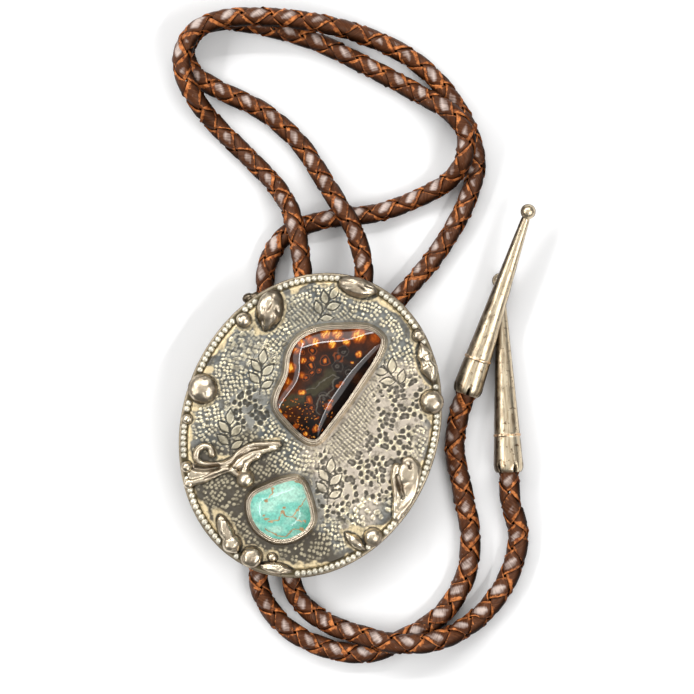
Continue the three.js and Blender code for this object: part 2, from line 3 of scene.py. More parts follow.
import bpy
import numpy as np
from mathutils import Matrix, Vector


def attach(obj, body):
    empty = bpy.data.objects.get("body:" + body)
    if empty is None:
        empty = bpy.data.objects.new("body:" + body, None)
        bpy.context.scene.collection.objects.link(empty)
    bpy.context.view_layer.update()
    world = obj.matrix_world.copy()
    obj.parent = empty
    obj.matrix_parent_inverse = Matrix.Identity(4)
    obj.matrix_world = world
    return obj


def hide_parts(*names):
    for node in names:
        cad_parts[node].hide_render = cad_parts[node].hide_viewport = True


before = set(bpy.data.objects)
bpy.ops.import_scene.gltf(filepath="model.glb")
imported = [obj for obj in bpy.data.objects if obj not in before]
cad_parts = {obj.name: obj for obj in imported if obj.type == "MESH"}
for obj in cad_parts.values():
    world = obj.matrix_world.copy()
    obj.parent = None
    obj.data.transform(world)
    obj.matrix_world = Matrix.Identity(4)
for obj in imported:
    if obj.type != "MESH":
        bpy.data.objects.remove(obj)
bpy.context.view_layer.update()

# Lengths are in millimetres and scaled by MM where a mesh is made.
MM = 0.001

# The photograph: pixels to a millimetre, and the pixel of the frame's origin.
PIXELS_PER_MM = 3.4
PHOTO_ORIGIN = (310.5, 425)

# Camera: the photograph is taken from straight above.
VIEW_CENTRE = (10.7, 22.9)
VIEW_WIDTH = 204.1
VIEW_PLANE = 8.0
CAMERA_HEIGHT = 800.0
SENSOR = 36.0

# Cord: LAYER is how much higher a strand lies that crosses over another.
CORD_RADIUS = 2.8
LAYER = 6.1
BRAID_TURN = 17.4
BRAID_STEP = 0.62
STRAND_HALF_WIDTH = 2.7
STRAND_THICKNESS = 1.25
PATH_STEP = 6.0

# Slide, in the plate's own frame, which SLIDE_PLACE lifts and turns.
SLIDE_BACK = 12.0
PLATE_LEAN = 20.0
PLATE_LENGTH = 91.0
PLATE_WIDTH = 75.0
PLATE_THICKNESS = 1.4
FACE = 1.9
BEZEL_HEIGHT = 2.9
BEZEL_WALL = 0.9
SLIDE_PLACE = (SLIDE_BACK, -math.radians(PLATE_LEAN))

CLIP_PLACE = (-2.0, -1.0)
CLIP_LEAN = 12.0
CLIP_LENGTH = 24.0
CHANNEL_SPACING = 11.0
CHANNEL_HEIGHT = 7.35

# Tips: the place of each mouth and the bearing from +Y.
TIP_LENGTH = 59.0
TIP_MOUTH_RADIUS = 4.5
TIP_NECK_RADIUS = 1.15
TIP_BALL_RADIUS = 2.25
TIP_SHAFT = TIP_LENGTH - TIP_BALL_RADIUS
TIP_SEAM = 11.0
TIP_GAP = 0.3
SOCKET_SEAT = 9.7
TIP_LEFT = ((45.9, 9.1, 4.1), 18.5)
TIP_RIGHT = ((58.5, -14.1, 4.56), -2.6)

# The cord's route: x, y and lift, from 0 on the surface to 1 on top of another strand.
LEFT_TAIL = [
    (42.6, -7, 0), (45, -20, 0), (47.2, -33, 0), (45.6, -45.5, 0), (38.5, -56.5, 0), (28, -63.2, 0),
    (17, -67.6, 0), (4, -66, 0), (-7.5, -59.8, 0), (-14.6, -50, 0), (-15.4, -39, 0.12),
]
NECK_LOOP = [
    (-1.9, 25, 1), (-1.5, 36, 1), (-2.4, 46, 1), (-5, 60.5, 1), (-9.6, 69.6, 0.2), (-18, 78.6, 0),
    (-27.5, 88, 0), (-34, 96.2, 0.75), (-37.8, 105.5, 1), (-35.4, 114.2, 1), (-27, 119, 1), (-12, 119.8, 1),
    (3.7, 117.9, 0.8), (17.5, 114.4, 0), (30, 108, 0), (39.3, 99.4, 0), (46.2, 88, 0), (49, 77.5, 0),
    (46.2, 66.3, 0), (39, 53, 0), (28.8, 40.3, 0), (14.6, 26.6, 0), (4.5, 22.7, 0), (-5, 25.8, 0),
    (-12, 35, 0), (-13.2, 46, 0), (-7.5, 56, 0), (4, 60.5, 0), (20, 62.7, 0), (33, 67.5, 0),
    (40.8, 72, 0.35), (44.9, 77.8, 0.95), (45.6, 85.2, 1), (41.6, 91.4, 1), (31.5, 98, 0.15),
    (16.5, 106.1, 0), (1.6, 113.2, 0), (-14.3, 117.8, 0), (-27, 119.3, 0), (-33.7, 116.9, 0),
    (-36.9, 110.6, 0), (-35.1, 104.4, 0), (-28.8, 99.9, 0), (-14, 92.5, 0), (-3.2, 83, 0),
    (3.4, 73, 0.25), (7.6, 66, 0.9), (12.6, 57.5, 1), (15.7, 45.3, 1), (13.5, 34, 1), (10.4, 24, 1),
]
RIGHT_TAIL = [
    (-5.6, -39, 0.12), (-4.6, -50, 0), (3.5, -58, 0), (14, -61.8, 0.5), (26, -64.2, 1), (37.5, -63.4, 0.8),
    (49.5, -57.2, 0), (58.3, -45.5, 0), (61.4, -33, 0),
]


def tip_axis(tip, slope):
    mouth, bearing = tip
    turn = math.radians(bearing)
    ahead = Vector((math.sin(turn), math.cos(turn), slope)).normalized()
    return Vector(mouth), ahead


right_axis = tip_axis(TIP_RIGHT, (TIP_BALL_RADIUS - TIP_RIGHT[0][2]) / TIP_SHAFT)


def left_slope():
    """How steeply the left tip rises to lie on the right one where they cross."""
    (start, ahead), (other, beside) = tip_axis(TIP_LEFT, 0), tip_axis(TIP_RIGHT, 0)
    between = other - start
    cross = ahead.x * beside.y - ahead.y * beside.x
    along_left = (between.x * beside.y - between.y * beside.x) / cross
    along_right = (between.x * ahead.y - between.y * ahead.x) / cross
    share = min(along_left / TIP_SHAFT, 1)
    width = TIP_MOUTH_RADIUS + (TIP_NECK_RADIUS - TIP_MOUTH_RADIUS) * share
    under_top = (right_axis[0] + right_axis[1] * along_right).z + TIP_BALL_RADIUS
    return (under_top + TIP_GAP + width - TIP_LEFT[0][2]) / along_left


left_axis = tip_axis(TIP_LEFT, left_slope())


def in_channel(side, distance):
    """A place on the middle of one of the clip's channels."""
    lean = math.radians(CLIP_LEAN)
    offset = side * CHANNEL_SPACING / 2
    return (
        CLIP_PLACE[0] + offset * math.cos(lean) + distance * math.sin(lean),
        CLIP_PLACE[1] - offset * math.sin(lean) + distance * math.cos(lean),
        CHANNEL_HEIGHT,
    )


def route_points():
    """The cord's middle from the left tip to the right one."""
    def lay(rows):
        return [(x, y, CORD_RADIUS + lift * LAYER) for x, y, lift in rows]

    def on_tip(axis, distances):
        return [tuple(axis[0] + axis[1] * d) for d in distances]

    past, inside = CLIP_LENGTH / 2 + 5, CLIP_LENGTH / 2 - 2
    return np.array(
        on_tip(left_axis, (SOCKET_SEAT, 3, 0, -6))
        + lay(LEFT_TAIL)
        + [in_channel(-1, d) for d in (-past, -inside, 0, inside)]
        + lay(NECK_LOOP)
        + [in_channel(1, d) for d in (inside, 0, -inside, -past)]
        + lay(RIGHT_TAIL)
        + on_tip(right_axis, (-8, -5, 0, 3, SOCKET_SEAT))
    )


def catmull_rom(points, per_span):
    """Centripetal Catmull-Rom curve through the points, as three.js draws it."""
    first = 2 * points[0] - points[1]
    last = 2 * points[-1] - points[-2]
    p = np.vstack([first, points, last])
    out = []
    t = np.linspace(0, 1, per_span, endpoint=False)[:, None]
    for i in range(1, len(p) - 2):
        p0, p1, p2, p3 = p[i - 1 : i + 3]
        d0, d1, d2 = (np.linalg.norm(b - a) ** 0.5 for a, b in ((p0, p1), (p1, p2), (p2, p3)))
        m1 = ((p1 - p0) / d0 - (p2 - p0) / (d0 + d1) + (p2 - p1) / d1) * d1
        m2 = ((p2 - p1) / d1 - (p3 - p1) / (d1 + d2) + (p3 - p2) / d2) * d1
        square, cube = -3 * p1 + 3 * p2 - 2 * m1 - m2, 2 * p1 - 2 * p2 + m1 + m2
        out.append(p1 + m1 * t + square * t**2 + cube * t**3)
    out.append(points[-1][None])
    return np.vstack(out)


def run_along(points):
    """How far along their line each of the points is."""
    return np.concatenate([[0], np.cumsum(np.linalg.norm(np.diff(points, axis=0), axis=1))])


def read_along(at, run, points):
    """The points' columns at given distances along their line."""
    return np.stack([np.interp(at, run, column) for column in points.T], -1)


def unit_rows(vectors):
    """Each row made one long."""
    return vectors / np.linalg.norm(vectors, axis=1)[:, None]


def centre_line(step):
    """The cord's centre line at even steps, with a frame carried along it without twist."""
    dense = catmull_rom(route_points(), 60)
    dense[:, 2] = np.maximum(dense[:, 2], CORD_RADIUS)
    run = run_along(dense)
    at = np.linspace(0, run[-1], int(round(run[-1] / step)) + 1)
    centre = read_along(at, run, dense)
    ahead = unit_rows(np.gradient(centre, axis=0))
    up = np.zeros_like(centre)
    normal = np.array([0.0, 0.0, 1.0])
    for i, tangent in enumerate(ahead):
        normal = normal - tangent * normal.dot(tangent)
        normal /= np.linalg.norm(normal)
        up[i] = normal
    return at, centre, up, np.cross(ahead, up)


def smooth_noise(at, scale, seed):
    """Smooth random values between -1 and 1 along a line."""
    picks = np.random.default_rng(seed).uniform(-1, 1, int(at[-1] / scale) + 4)
    x = at / scale
    i = x.astype(int)
    f = x - i
    f = f * f * (3 - 2 * f)
    return picks[i] * (1 - f) + picks[i + 1] * f


def add_mesh(name, points, faces, material, slot, attributes=None, smooth=True, replaces=(), place=None):
    """A piece from points in millimetres, riding on the part's one body."""
    mesh = bpy.data.meshes.new(name)
    mesh.from_pydata((np.asarray(points) * MM).tolist(), [], [tuple(f) for f in faces])
    mesh.update()
    if smooth:
        mesh.polygons.foreach_set("use_smooth", [True] * len(mesh.polygons))
    for key, values in (attributes or {}).items():
        layer = mesh.attributes.new(key, "FLOAT", "POINT")
        layer.data.foreach_set("value", np.asarray(values, dtype=np.float32).ravel())
    piece = bpy.data.objects.new(name, mesh)
    bpy.context.scene.collection.objects.link(piece)
    mesh.materials.append(material)
    if place:
        piece.location.z = place[0] * MM
        piece.rotation_euler.z = place[1]
    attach(piece, "root")
    if replaces:
        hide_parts(*replaces)
    return piece


def step_down(value, low, high):
    """1 below low, 0 above high and smooth between."""
    t = np.clip((high - value) / (high - low), 0, 1)
    return t * t * (3 - 2 * t)


def in_space(x, y, z=0.0):
    """Points from their coordinates, each an array or a number."""
    return np.stack(np.broadcast_arrays(x, y, z), -1)


def turned(points, degrees, place):
    """Points turned about z and then moved in x and y."""
    a = math.radians(degrees)
    points[:, :2] = points[:, :2] @ [[math.cos(a), math.sin(a)], [-math.sin(a), math.cos(a)]] + place
    return points


def grid_faces(rows, columns, wrap=True):
    """Quads of a grid of points given row by row; wrap closes each row on itself."""
    i, j = np.meshgrid(np.arange(rows - 1), np.arange(columns if wrap else columns - 1), indexing="ij")
    k = (j + 1) % columns
    corners = [i * columns + j, i * columns + k, (i + 1) * columns + k, (i + 1) * columns + j]
    return np.stack(corners, -1).reshape(-1, 4)


def tube_faces(rows, columns, inside_out=False, first_end=True, last_end=True):
    """Faces of a tube given ring by ring, with its ends shut or open."""
    faces = grid_faces(rows, columns).tolist()
    if first_end:
        faces.append(list(range(columns))[::-1])
    if last_end:
        faces.append(list(range((rows - 1) * columns, rows * columns)))
    return [face[::-1] for face in faces] if inside_out else faces


def several(parts):
    """The points and faces of several parts as those of one."""
    points, faces, start = [], [], 0
    for p, f in parts:
        points.append(p)
        faces += [[v + start for v in face] for face in f]
        start += len(p)
    return np.vstack(points), faces


class Nodes:
    """A node tree of a material or world, with short calls for the nodes used here."""

    def __init__(self, name, library="materials", shader="Principled BSDF"):
        self.owner = getattr(bpy.data, library).new(name)
        self.owner.use_nodes = True
        self.tree = self.owner.node_tree
        self.shader = self.tree.nodes[shader]

    def add(self, kind, inputs=None, **settings):
        node = self.tree.nodes.new(kind)
        for key, value in settings.items():
            setattr(node, key, value)
        for key, value in (inputs or {}).items():
            self.put(node.inputs[key], value)
        return node

    def put(self, socket, value):
        if isinstance(value, bpy.types.NodeSocket):
            self.tree.links.new(value, socket)
        elif socket.type == "RGBA" and len(value) == 3:
            socket.default_value = (*value, 1)
        else:
            socket.default_value = value

    def set(self, **values):
        for key, value in values.items():
            self.put(self.shader.inputs[key.replace("_", " ")], value)
        return self.owner

    def attribute(self, name, output="Fac"):
        return self.add("ShaderNodeAttribute", attribute_name=name).outputs[output]

    def noise(self, scale, detail=4.0, rough=0.55, vector=None):
        vector = vector or self.add("ShaderNodeTexCoord").outputs["Object"]
        values = {"Scale": scale, "Detail": detail, "Roughness": rough, "Vector": vector}
        return self.add("ShaderNodeTexNoise", values).outputs["Fac"]

    def ramp(self, value, stops):
        node = self.add("ShaderNodeValToRGB", {"Fac": value})
        elements = node.color_ramp.elements
        while len(elements) < len(stops):
            elements.new(0.5)
        for element, (place, colour) in zip(elements, stops):
            element.position = place
            element.color = (*colour, 1) if isinstance(colour, tuple) else (colour, colour, colour, 1)
        return node.outputs["Color"]

    def mix(self, share, low, high, blend="MIX"):
        node = self.add("ShaderNodeMix", data_type="RGBA", blend_type=blend)
        self.put(node.inputs["Factor"], share)
        self.put(node.inputs["A"], low)
        self.put(node.inputs["B"], high)
        return node.outputs["Result"]

    def maths(self, kind, a, b=0.0):
        node = self.add("ShaderNodeMath", operation=kind)
        self.put(node.inputs[0], a)
        self.put(node.inputs[1], b)
        return node.outputs["Value"]

    def times(self, a, b):
        return self.maths("MULTIPLY", a, b)

    def plus(self, a, b):
        return self.maths("ADD", a, b)

    def swing(self, value, middle, size):
        """How far a value is from its middle, times a size."""
        return self.times(self.maths("SUBTRACT", value, middle), size)

    def blend(self, value, start, end, low, high):
        """Low while a value is below the start, high above the end and a mix between."""
        return self.mix(self.ramp(value, [(start, 0), (end, 1)]), low, high)

    def drawn_out(self, x, y, scale):
        """A texture's place from two attributes, each with its own scale."""
        flat = self.add("ShaderNodeCombineXYZ", {"X": self.attribute(x), "Y": self.attribute(y)})
        values = {"Vector": flat.outputs["Vector"], "Scale": (*scale, 1)}
        return self.add("ShaderNodeMapping", values).outputs["Vector"]

    def bump(self, height, depth, strength=1.0, normal=None):
        values = {"Height": height, "Distance": depth * MM, "Strength": strength}
        if normal:
            values["Normal"] = normal
        return self.add("ShaderNodeBump", values).outputs["Normal"]


def leather_material():
    """Brown leather: raw orange at its torn edges, painted shade near black on the side turned from the light
    and in the gaps between strands, and painted sheen in streaks on top.
    """
    n = Nodes("braided_leather")
    under = n.attribute("under")
    lines = n.noise(1.0, detail=3, vector=n.drawn_out("run", "across", (2.4, 0.32)))
    blotch = n.noise(150, detail=5)
    face = n.mix(blotch, (0.046, 0.014, 0.006), (0.125, 0.04, 0.015))
    face = n.mix(n.ramp(lines, [(0.45, 0), (0.7, 0.6)]), face, (0.2, 0.075, 0.03))
    # Painted sheen: pale streaks painted on strands that lie on top and face the light.
    sheen = n.times(n.attribute("sheen"), n.plus(lines, blotch))
    face = n.mix(n.ramp(sheen, [(0.38, 0), (0.62, 0.35), (0.95, 1)]), face, (0.66, 0.54, 0.48))
    # Painted shade: the side of each strand turned from the light is darkened to near black.
    face = n.mix(under, face, (0.009, 0.003, 0.001))
    raw = n.blend(n.noise(700, detail=3), 0.35, 0.62, (0.17, 0.04, 0.01), (0.74, 0.25, 0.07))
    # Painted shade: the raw edges are darkened on the side turned from the light too.
    raw = n.mix(n.times(under, 0.75), raw, (0.075, 0.017, 0.004))
    patches = n.noise(1.0, vector=n.drawn_out("run", "across", (0.16, 0.3)))
    frayed = n.plus(n.attribute("edge"), n.swing(n.noise(900, detail=4), 0.5, 0.9))
    frayed = n.plus(frayed, n.swing(patches, 0.54, 1.9))
    colour = n.blend(frayed, 0.68, 0.8, face, raw)
    # Painted shade: near black where a strand lies deep, in the gaps between strands and under crossings.
    colour = n.blend(n.attribute("depth"), 0.16, 0.42, colour, (0.003, 0.001, 0.001))
    normal = n.bump(lines, 0.16, 0.8)
    normal = n.bump(n.noise(900, detail=5), 0.08, 0.6, normal)
    rough = n.ramp(n.noise(220), [(0.3, 0.3), (0.75, 0.5)])
    # Reflections are weakened where the painted shade lies.
    shine = n.ramp(under, [(0, 0.26), (0.8, 0.03)])
    return n.set(Base_Color=colour, Roughness=rough, Normal=normal, Specular_IOR_Level=shine,
                 Specular_Tint=(1.0, 0.82, 0.68))


def silver_material(name, tint, dark=(0.05, 0.045, 0.04), rough=(0.22, 0.45),
                    painted_shade=False, metal=1.0, dents=0.22, specks=1.0):
    """Worn silver; with painted_shade it is darkened, as painted shade, where its points' dark value says so.
    """
    n = Nodes(name)
    stain = n.noise(90, detail=6, rough=0.65)
    colour = n.blend(stain, 0.3, 0.62, tuple(0.55 * c for c in tint), tint)
    colour = n.mix(n.ramp(n.noise(900, detail=5), [(0.28, specks), (0.4, 0)]), colour, dark)
    if painted_shade:
        # Painted shade: darkened where the dark value is high, which on the rim is under and round the beads.
        colour = n.mix(n.attribute("dark"), colour, (0.13, 0.105, 0.06))
    normal = n.bump(n.noise(260, detail=5), dents, 0.7)
    normal = n.bump(n.noise(1500, detail=3), 0.03, 0.6, normal)
    roughness = n.ramp(stain, [(0.2, rough[1]), (0.8, rough[0])])
    return n.set(Base_Color=colour, Metallic=metal, Roughness=roughness, Normal=normal)


# The direction of the light that the painted sheen and the painted shade on the leather are worked out from.
LIT_FROM = (-0.3, 0.36, 0.88)
# A strand's section: places across the strand, and the height of its skin there in shares of thickness.
ACROSS = np.array([-1.0, -0.97, -0.8, -0.5, 0.0, 0.5, 0.8, 0.97, 1.0, 0.5, 0.0, -0.5])
SKIN = np.array([-0.26, -0.03, 0.0, 0.02, 0.03, 0.02, 0.0, -0.03, -0.26, -0.95, -1.0, -0.95])
# How deep the skin's middle level lies, how far a strand rises and sinks, and how far torn edges stand up.
BRAID_SINK = 0.42
BRAID_WAVE = 0.38
FRAY = 0.42
FLOOR_GAP = 0.03


def braid():
    """The four-strand round braid, each strand a flat band that goes over one and under one."""
    at, centre, up, side = centre_line(BRAID_STEP)
    length = at[-1]
    tail = np.clip((np.abs(at - length / 2) - length * 0.33) / 60, 0, 1)
    outer = 2.84 + 0.24 * tail + 0.06 * smooth_noise(at, 30, 3)
    twist = 1.1 * smooth_noise(at, 70, 11) + 0.15 * smooth_noise(at, 9, 12)
    pitch = 2 * math.pi / BRAID_TURN
    angle = math.atan(pitch * CORD_RADIUS)
    w = ACROSS[None, :] * STRAND_HALF_WIDTH
    faces = tube_faces(len(at), len(ACROSS))
    strands, values = [], {key: [] for key in ("edge", "depth", "run", "across", "under", "sheen")}
    for hand, turn in ((1, 0), (1, 1), (-1, 0), (-1, 1)):
        s = np.clip(at[:, None] - hand * math.sin(angle) * w, 0, length)
        radius = np.interp(s, at, outer)
        theta = hand * pitch * at[:, None] + turn * math.pi + w * math.cos(angle) / CORD_RADIUS
        crossing = theta + hand * pitch * s
        lift = np.clip(1.6 * np.cos(crossing - turn * math.pi), -1, 1) * hand
        r = radius - BRAID_SINK + BRAID_WAVE * lift + SKIN * STRAND_THICKNESS
        for k, border in enumerate((ACROSS >= 0.97, ACROSS <= -0.97)):
            torn = np.clip(smooth_noise(at, 1.3, 200 + 10 * k + 3 * turn + hand), 0, 1)
            r = r + FRAY * torn[:, None] * border
        theta = theta + np.interp(s, at, twist)
        base, n1, n2 = (read_along(s, at, line) for line in (centre, up, side))
        out = np.cos(theta)[..., None] * n1 + np.sin(theta)[..., None] * n2
        spot = base + r[..., None] * out
        spot[..., 2] = np.maximum(spot[..., 2], FLOOR_GAP)
        strands.append((spot.reshape(-1, 3), faces))
        # Painted shade: under is high on the side of a strand turned from LIT_FROM.
        facing = out @ np.array(LIT_FROM)
        # Painted sheen: high on strands lying on top, where they face LIT_FROM.
        sheen = step_down(np.abs(w - 0.4), 0.3, 2.3) * np.clip(1.5 * lift, 0, 1)
        own_run = at[:, None] / math.cos(angle) + 3000 * turn + 6000 * (hand > 0)
        # depth is how far a strand lies below the braid's outside, for the painted shade in the gaps.
        found = (np.abs(ACROSS), (radius - r) / 1.6, own_run, w, step_down(facing, 0.15, 0.8),
                 sheen * step_down(-facing, -1.0, -0.55))
        for column, value in zip(values.values(), found):
            column.append(np.broadcast_to(value, r.shape))
    piece = add_mesh("braided_cord", *several(strands), leather_material(), "leather",
                     {key: np.concatenate(column) for key, column in values.items()}, replaces=("cord",))
    path = [tuple(p * MM) for p in (*centre[:: int(PATH_STEP / BRAID_STEP)], centre[-1])]
    return piece, path, length


braided_cord, cord_path, cord_length = braid()

# Softboxes: the bearing from +X and the lean from the zenith in degrees, the width and length for a
# distance of one metre, and the brightness. Each narrow bright one has a wide faint one outside it.
SOFTBOXES = [
    ("west_line", 168, 44, 0.035, 1.1, 25), ("west_veil", 168, 52, 0.2, 1.1, 2.9),
    ("north_line", 95, 38, 0.035, 1.1, 23), ("north_veil", 95, 46, 0.2, 1.0, 3.8),
    ("east_line", -33, 36, 0.06, 0.8, 17), ("east_veil", -33, 47, 0.3, 0.8, 3.0),
]
LAMP_DISTANCE = 1.9
FLOOR_HALF = 2.5
FLOOR_DROP = 0.0001
# The studio round the object, from below to overhead.
WORLD_TONES = [(0.3, (0.07, 0.07, 0.075)), (0.78, (0.22, 0.22, 0.225)), (0.97, (0.95, 0.94, 0.92))]
WORLD_STRENGTH = 0.86


def stage_and_light():
    """The pale floor, the studio round it and the softboxes."""
    n = Nodes("pale_floor")
    tone = n.mix(n.noise(6, detail=2), (0.94, 0.94, 0.94), (0.96, 0.96, 0.96))
    mesh = bpy.data.meshes.new("floor")
    corners = [(x * FLOOR_HALF, y * FLOOR_HALF, 0) for x, y in ((-1, -1), (1, -1), (1, 1), (-1, 1))]
    mesh.from_pydata(corners, [], [(0, 1, 2, 3)])
    mesh.materials.append(n.set(Base_Color=tone, Roughness=0.85, Specular_IOR_Level=0.2))
    floor = bpy.data.objects.new("floor", mesh)
    floor.location.z = -FLOOR_DROP
    bpy.context.scene.collection.objects.link(floor)

    n = Nodes("studio", "worlds", "Background")
    direction = n.add("ShaderNodeTexCoord").outputs["Generated"]
    height = n.add("ShaderNodeSeparateXYZ", {"Vector": direction}).outputs["Z"]
    bpy.context.scene.world = n.set(Color=n.ramp(height, WORLD_TONES), Strength=WORLD_STRENGTH)
    bpy.context.scene.view_settings.view_transform = "Standard"
    target = Vector((VIEW_CENTRE[0] * MM, VIEW_CENTRE[1] * MM, 0))
    for name, bearing, lean, wide, long, brightness in SOFTBOXES:
        a, b = math.radians(bearing), math.radians(lean)
        place = Vector((math.cos(a) * math.sin(b), math.sin(a) * math.sin(b), math.cos(b))) * LAMP_DISTANCE
        light = bpy.data.lights.new(name, "AREA")
        light.shape = "RECTANGLE"
        light.size = long * LAMP_DISTANCE
        light.size_y = wide * LAMP_DISTANCE
        light.energy = brightness * math.pi * light.size * light.size_y
        lamp = bpy.data.objects.new(name, light)
        lamp.location = target + place
        lamp.rotation_euler = (-place).to_track_quat("-Z", "Y").to_euler()
        bpy.context.scene.collection.objects.link(lamp)


def add_camera():
    lens = bpy.data.cameras.new("camera")
    lens.sensor_width = SENSOR
    lens.lens = SENSOR * (CAMERA_HEIGHT - VIEW_PLANE) / VIEW_WIDTH
    lens.clip_start = 0.05
    camera = bpy.data.objects.new("camera", lens)
    camera.location = (VIEW_CENTRE[0] * MM, VIEW_CENTRE[1] * MM, CAMERA_HEIGHT * MM)
    bpy.context.scene.collection.objects.link(camera)
    bpy.context.scene.camera = camera


stage_and_light()
add_camera()


def lattice_noise(points, size, seed):
    """Smooth noise between -1 and 1 at points in space, with features of about that size."""
    count = 32
    grid = np.random.default_rng(seed).uniform(-1, 1, (count, count, count))
    q = np.asarray(points) / size + 100
    cell = np.floor(q).astype(int)
    f = q - cell
    f = f * f * (3 - 2 * f)
    total = np.zeros(q.shape[:-1])
    for corner in range(8):
        step = np.array([corner & 1, corner >> 1 & 1, corner >> 2 & 1])
        weight = np.prod(np.where(step, f, 1 - f), axis=-1)
        i, j, k = np.moveaxis((cell + step) % count, -1, 0)
        total += weight * grid[i, j, k]
    return total


def rough_noise(points, size, seed, octaves=3):
    """Smooth noise with finer noise on top, each half the size and half as strong."""
    return sum(lattice_noise(points, size / 2**k, seed + k) / 2**k for k in range(octaves))


def scattered_cells(x, y, pitch_x, pitch_y, jitter, seed):
    """Distance, in shares of the pitch, to the nearest spot of a jittered lattice, and that spot's number."""
    size = 64
    table = np.random.default_rng(seed).uniform(-0.5, 0.5, (size, size, 3))
    u, v = x / pitch_x, y / pitch_y
    i, j = np.floor(u).astype(int), np.floor(v).astype(int)
    best = np.full(u.shape, 9.0)
    which = np.zeros(u.shape)
    for di in (-1, 0, 1):
        for dj in (-1, 0, 1):
            pick = table[(i + di) % size, (j + dj) % size]
            spot = i + di + 0.5 + jitter * pick[..., 0], j + dj + 0.5 + jitter * pick[..., 1]
            d = np.hypot(u - spot[0], v - spot[1])
            which = np.where(d < best, pick[..., 2] + 0.5, which)
            best = np.minimum(best, d)
    return best, which


def seen(px, py):
    """The plate's own x and y, in millimetres, of a place seen at a pixel of the photograph."""
    x, y = (px - PHOTO_ORIGIN[0]) / PIXELS_PER_MM, (PHOTO_ORIGIN[1] - py) / PIXELS_PER_MM
    lean = math.radians(PLATE_LEAN)
    return x * math.cos(lean) - y * math.sin(lean), x * math.sin(lean) + y * math.cos(lean)


def ellipse_reach(x, y, inset=0.0):
    """Below 1 inside the plate's outline moved in by the inset."""
    return np.hypot(x / (PLATE_WIDTH / 2 - inset), y / (PLATE_LENGTH / 2 - inset))


def on_oval(angles, inset):
    """x and y on the plate's outline moved in by the inset, at angles from the plate's own +X."""
    return (PLATE_WIDTH / 2 - inset) * np.cos(angles), (PLATE_LENGTH / 2 - inset) * np.sin(angles)


AMBER_OUTLINE = [
    (-0.3, 0.344), (0, 0.443), (0.27, 0.498), (0.46, 0.455), (0.498, 0.37), (0.396, 0.013), (0.244, -0.352),
    (0.165, -0.475), (0.06, -0.5), (-0.203, -0.44), (-0.43, -0.336), (-0.47, -0.235), (-0.453, -0.07),
    (-0.498, 0.089), (-0.455, 0.225),
]
TURQUOISE_OUTLINE = [
    (0.031, 0.5), (0.165, 0.475), (0.389, 0.219), (0.5, -0.002), (0.472, -0.18), (0.297, -0.401),
    (0.075, -0.5), (-0.2, -0.451), (-0.389, -0.303), (-0.495, -0.081), (-0.474, 0.067), (-0.316, 0.249),
    (-0.118, 0.42),
]
# Each stone's outline, width, length, height over the face, and place in shares of the plate's half sizes.
STONES = {
    "amber_stone": (AMBER_OUTLINE, 26.4, 38.4, 5.6, (-0.015, 0.31)),
    "turquoise_stone": (TURQUOISE_OUTLINE, 20.7, 20.3, 5.2, (0.01, -0.56)),
}


def closed_outline(stone, inset, count):
    """A stone's outline in the plate's frame, counter-clockwise, moved in by a distance, and its middle."""
    outline, width, length, _, place = STONES[stone]
    rows = np.array([(x * width, y * length, 0.0) for x, y in outline])
    around = np.vstack([rows[-2:], rows, rows[:3]])
    dense = catmull_rom(around, 40)[80:-80]
    run = run_along(dense)
    line = read_along(np.linspace(0, run[-1], count, endpoint=False), run, dense)[::-1, :2]
    ahead = unit_rows(np.roll(line, -1, 0) - np.roll(line, 1, 0))
    inward = np.stack([-ahead[:, 1], ahead[:, 0]], 1)
    middle = np.array([place[0] * PLATE_WIDTH / 2, place[1] * PLATE_LENGTH / 2])
    return line + inward * inset + middle, middle


def outline_distance(x, y, stone):
    """Signed distance to a stone's bezel, below 0 inside it."""
    line, _ = closed_outline(stone, 0, 160)
    points = np.stack([x.ravel(), y.ravel()], 1)
    best = np.full(len(points), 1e9)
    inside = np.zeros(len(points), bool)
    for a, b in zip(line, np.roll(line, -1, 0)):
        d = b - a
        t = np.clip(((points - a) @ d) / (d @ d), 0, 1)
        best = np.minimum(best, np.linalg.norm(points - a - t[:, None] * d, axis=1))
        crosses = (a[1] > points[:, 1]) != (b[1] > points[:, 1])
        with np.errstate(divide="ignore", invalid="ignore"):
            inside ^= crosses & (points[:, 0] < a[0] + (points[:, 1] - a[1]) * d[0] / d[1])
    return np.where(inside, -best, best).reshape(x.shape)


# Leaf sprigs pressed into the plate: the place in the plate's frame, the turn and the size.
SPRIGS = [
    ((-7.7, 33.5), 10, 1.25), ((17.2, 21.9), -60, 1.35), ((-18.4, 8.6), -15, 1.3),
    ((-20.9, -11.2), -20, 1.35), ((11.1, -14.7), -15, 1.35),
]
# A sprig's leaves: the distance along its stem, the side, the angle to the stem and the length.
SPRIG_LEAVES = [
    (-2.6, 1, 55, 3.2), (-1.6, -1, -50, 3.4), (0.2, 1, 42, 3.6), (1.0, -1, -42, 3.4), (2.6, 0, 2, 3.6),
]
# Star stamps: the place in the plate's frame and the size.
STARS = [
    ((-13.8, 20.5), 2.4), ((-19.5, 17.5), 2.2), ((-16.8, 14.2), 2.1), ((-12.0, 15.8), 2.0),
    ((-22.5, 12.0), 2.0),
]


def blend_to(colour, share, tone):
    """Colours moved towards a tone by a share, point by point."""
    return colour + np.asarray(share)[..., None] * (np.asarray(tone) - colour)


def warped(x, y, amount, size, seed):
    """Points pushed about by noise, for edges that wander."""
    flat = in_space(x, y)
    return x + amount * rough_noise(flat, size, seed), y + amount * rough_noise(flat, size, seed + 1)


def spot_distance(x, y, px, py):
    """Distance from points to the place seen at a pixel of the photograph."""
    cx, cy = seen(px, py)
    return np.hypot(x - cx, y - cy)


def line_distance(x, y, line):
    """Distance from points to a broken line given by pixels of the photograph."""
    return local_distance(x, y, [seen(*spot) for spot in line])


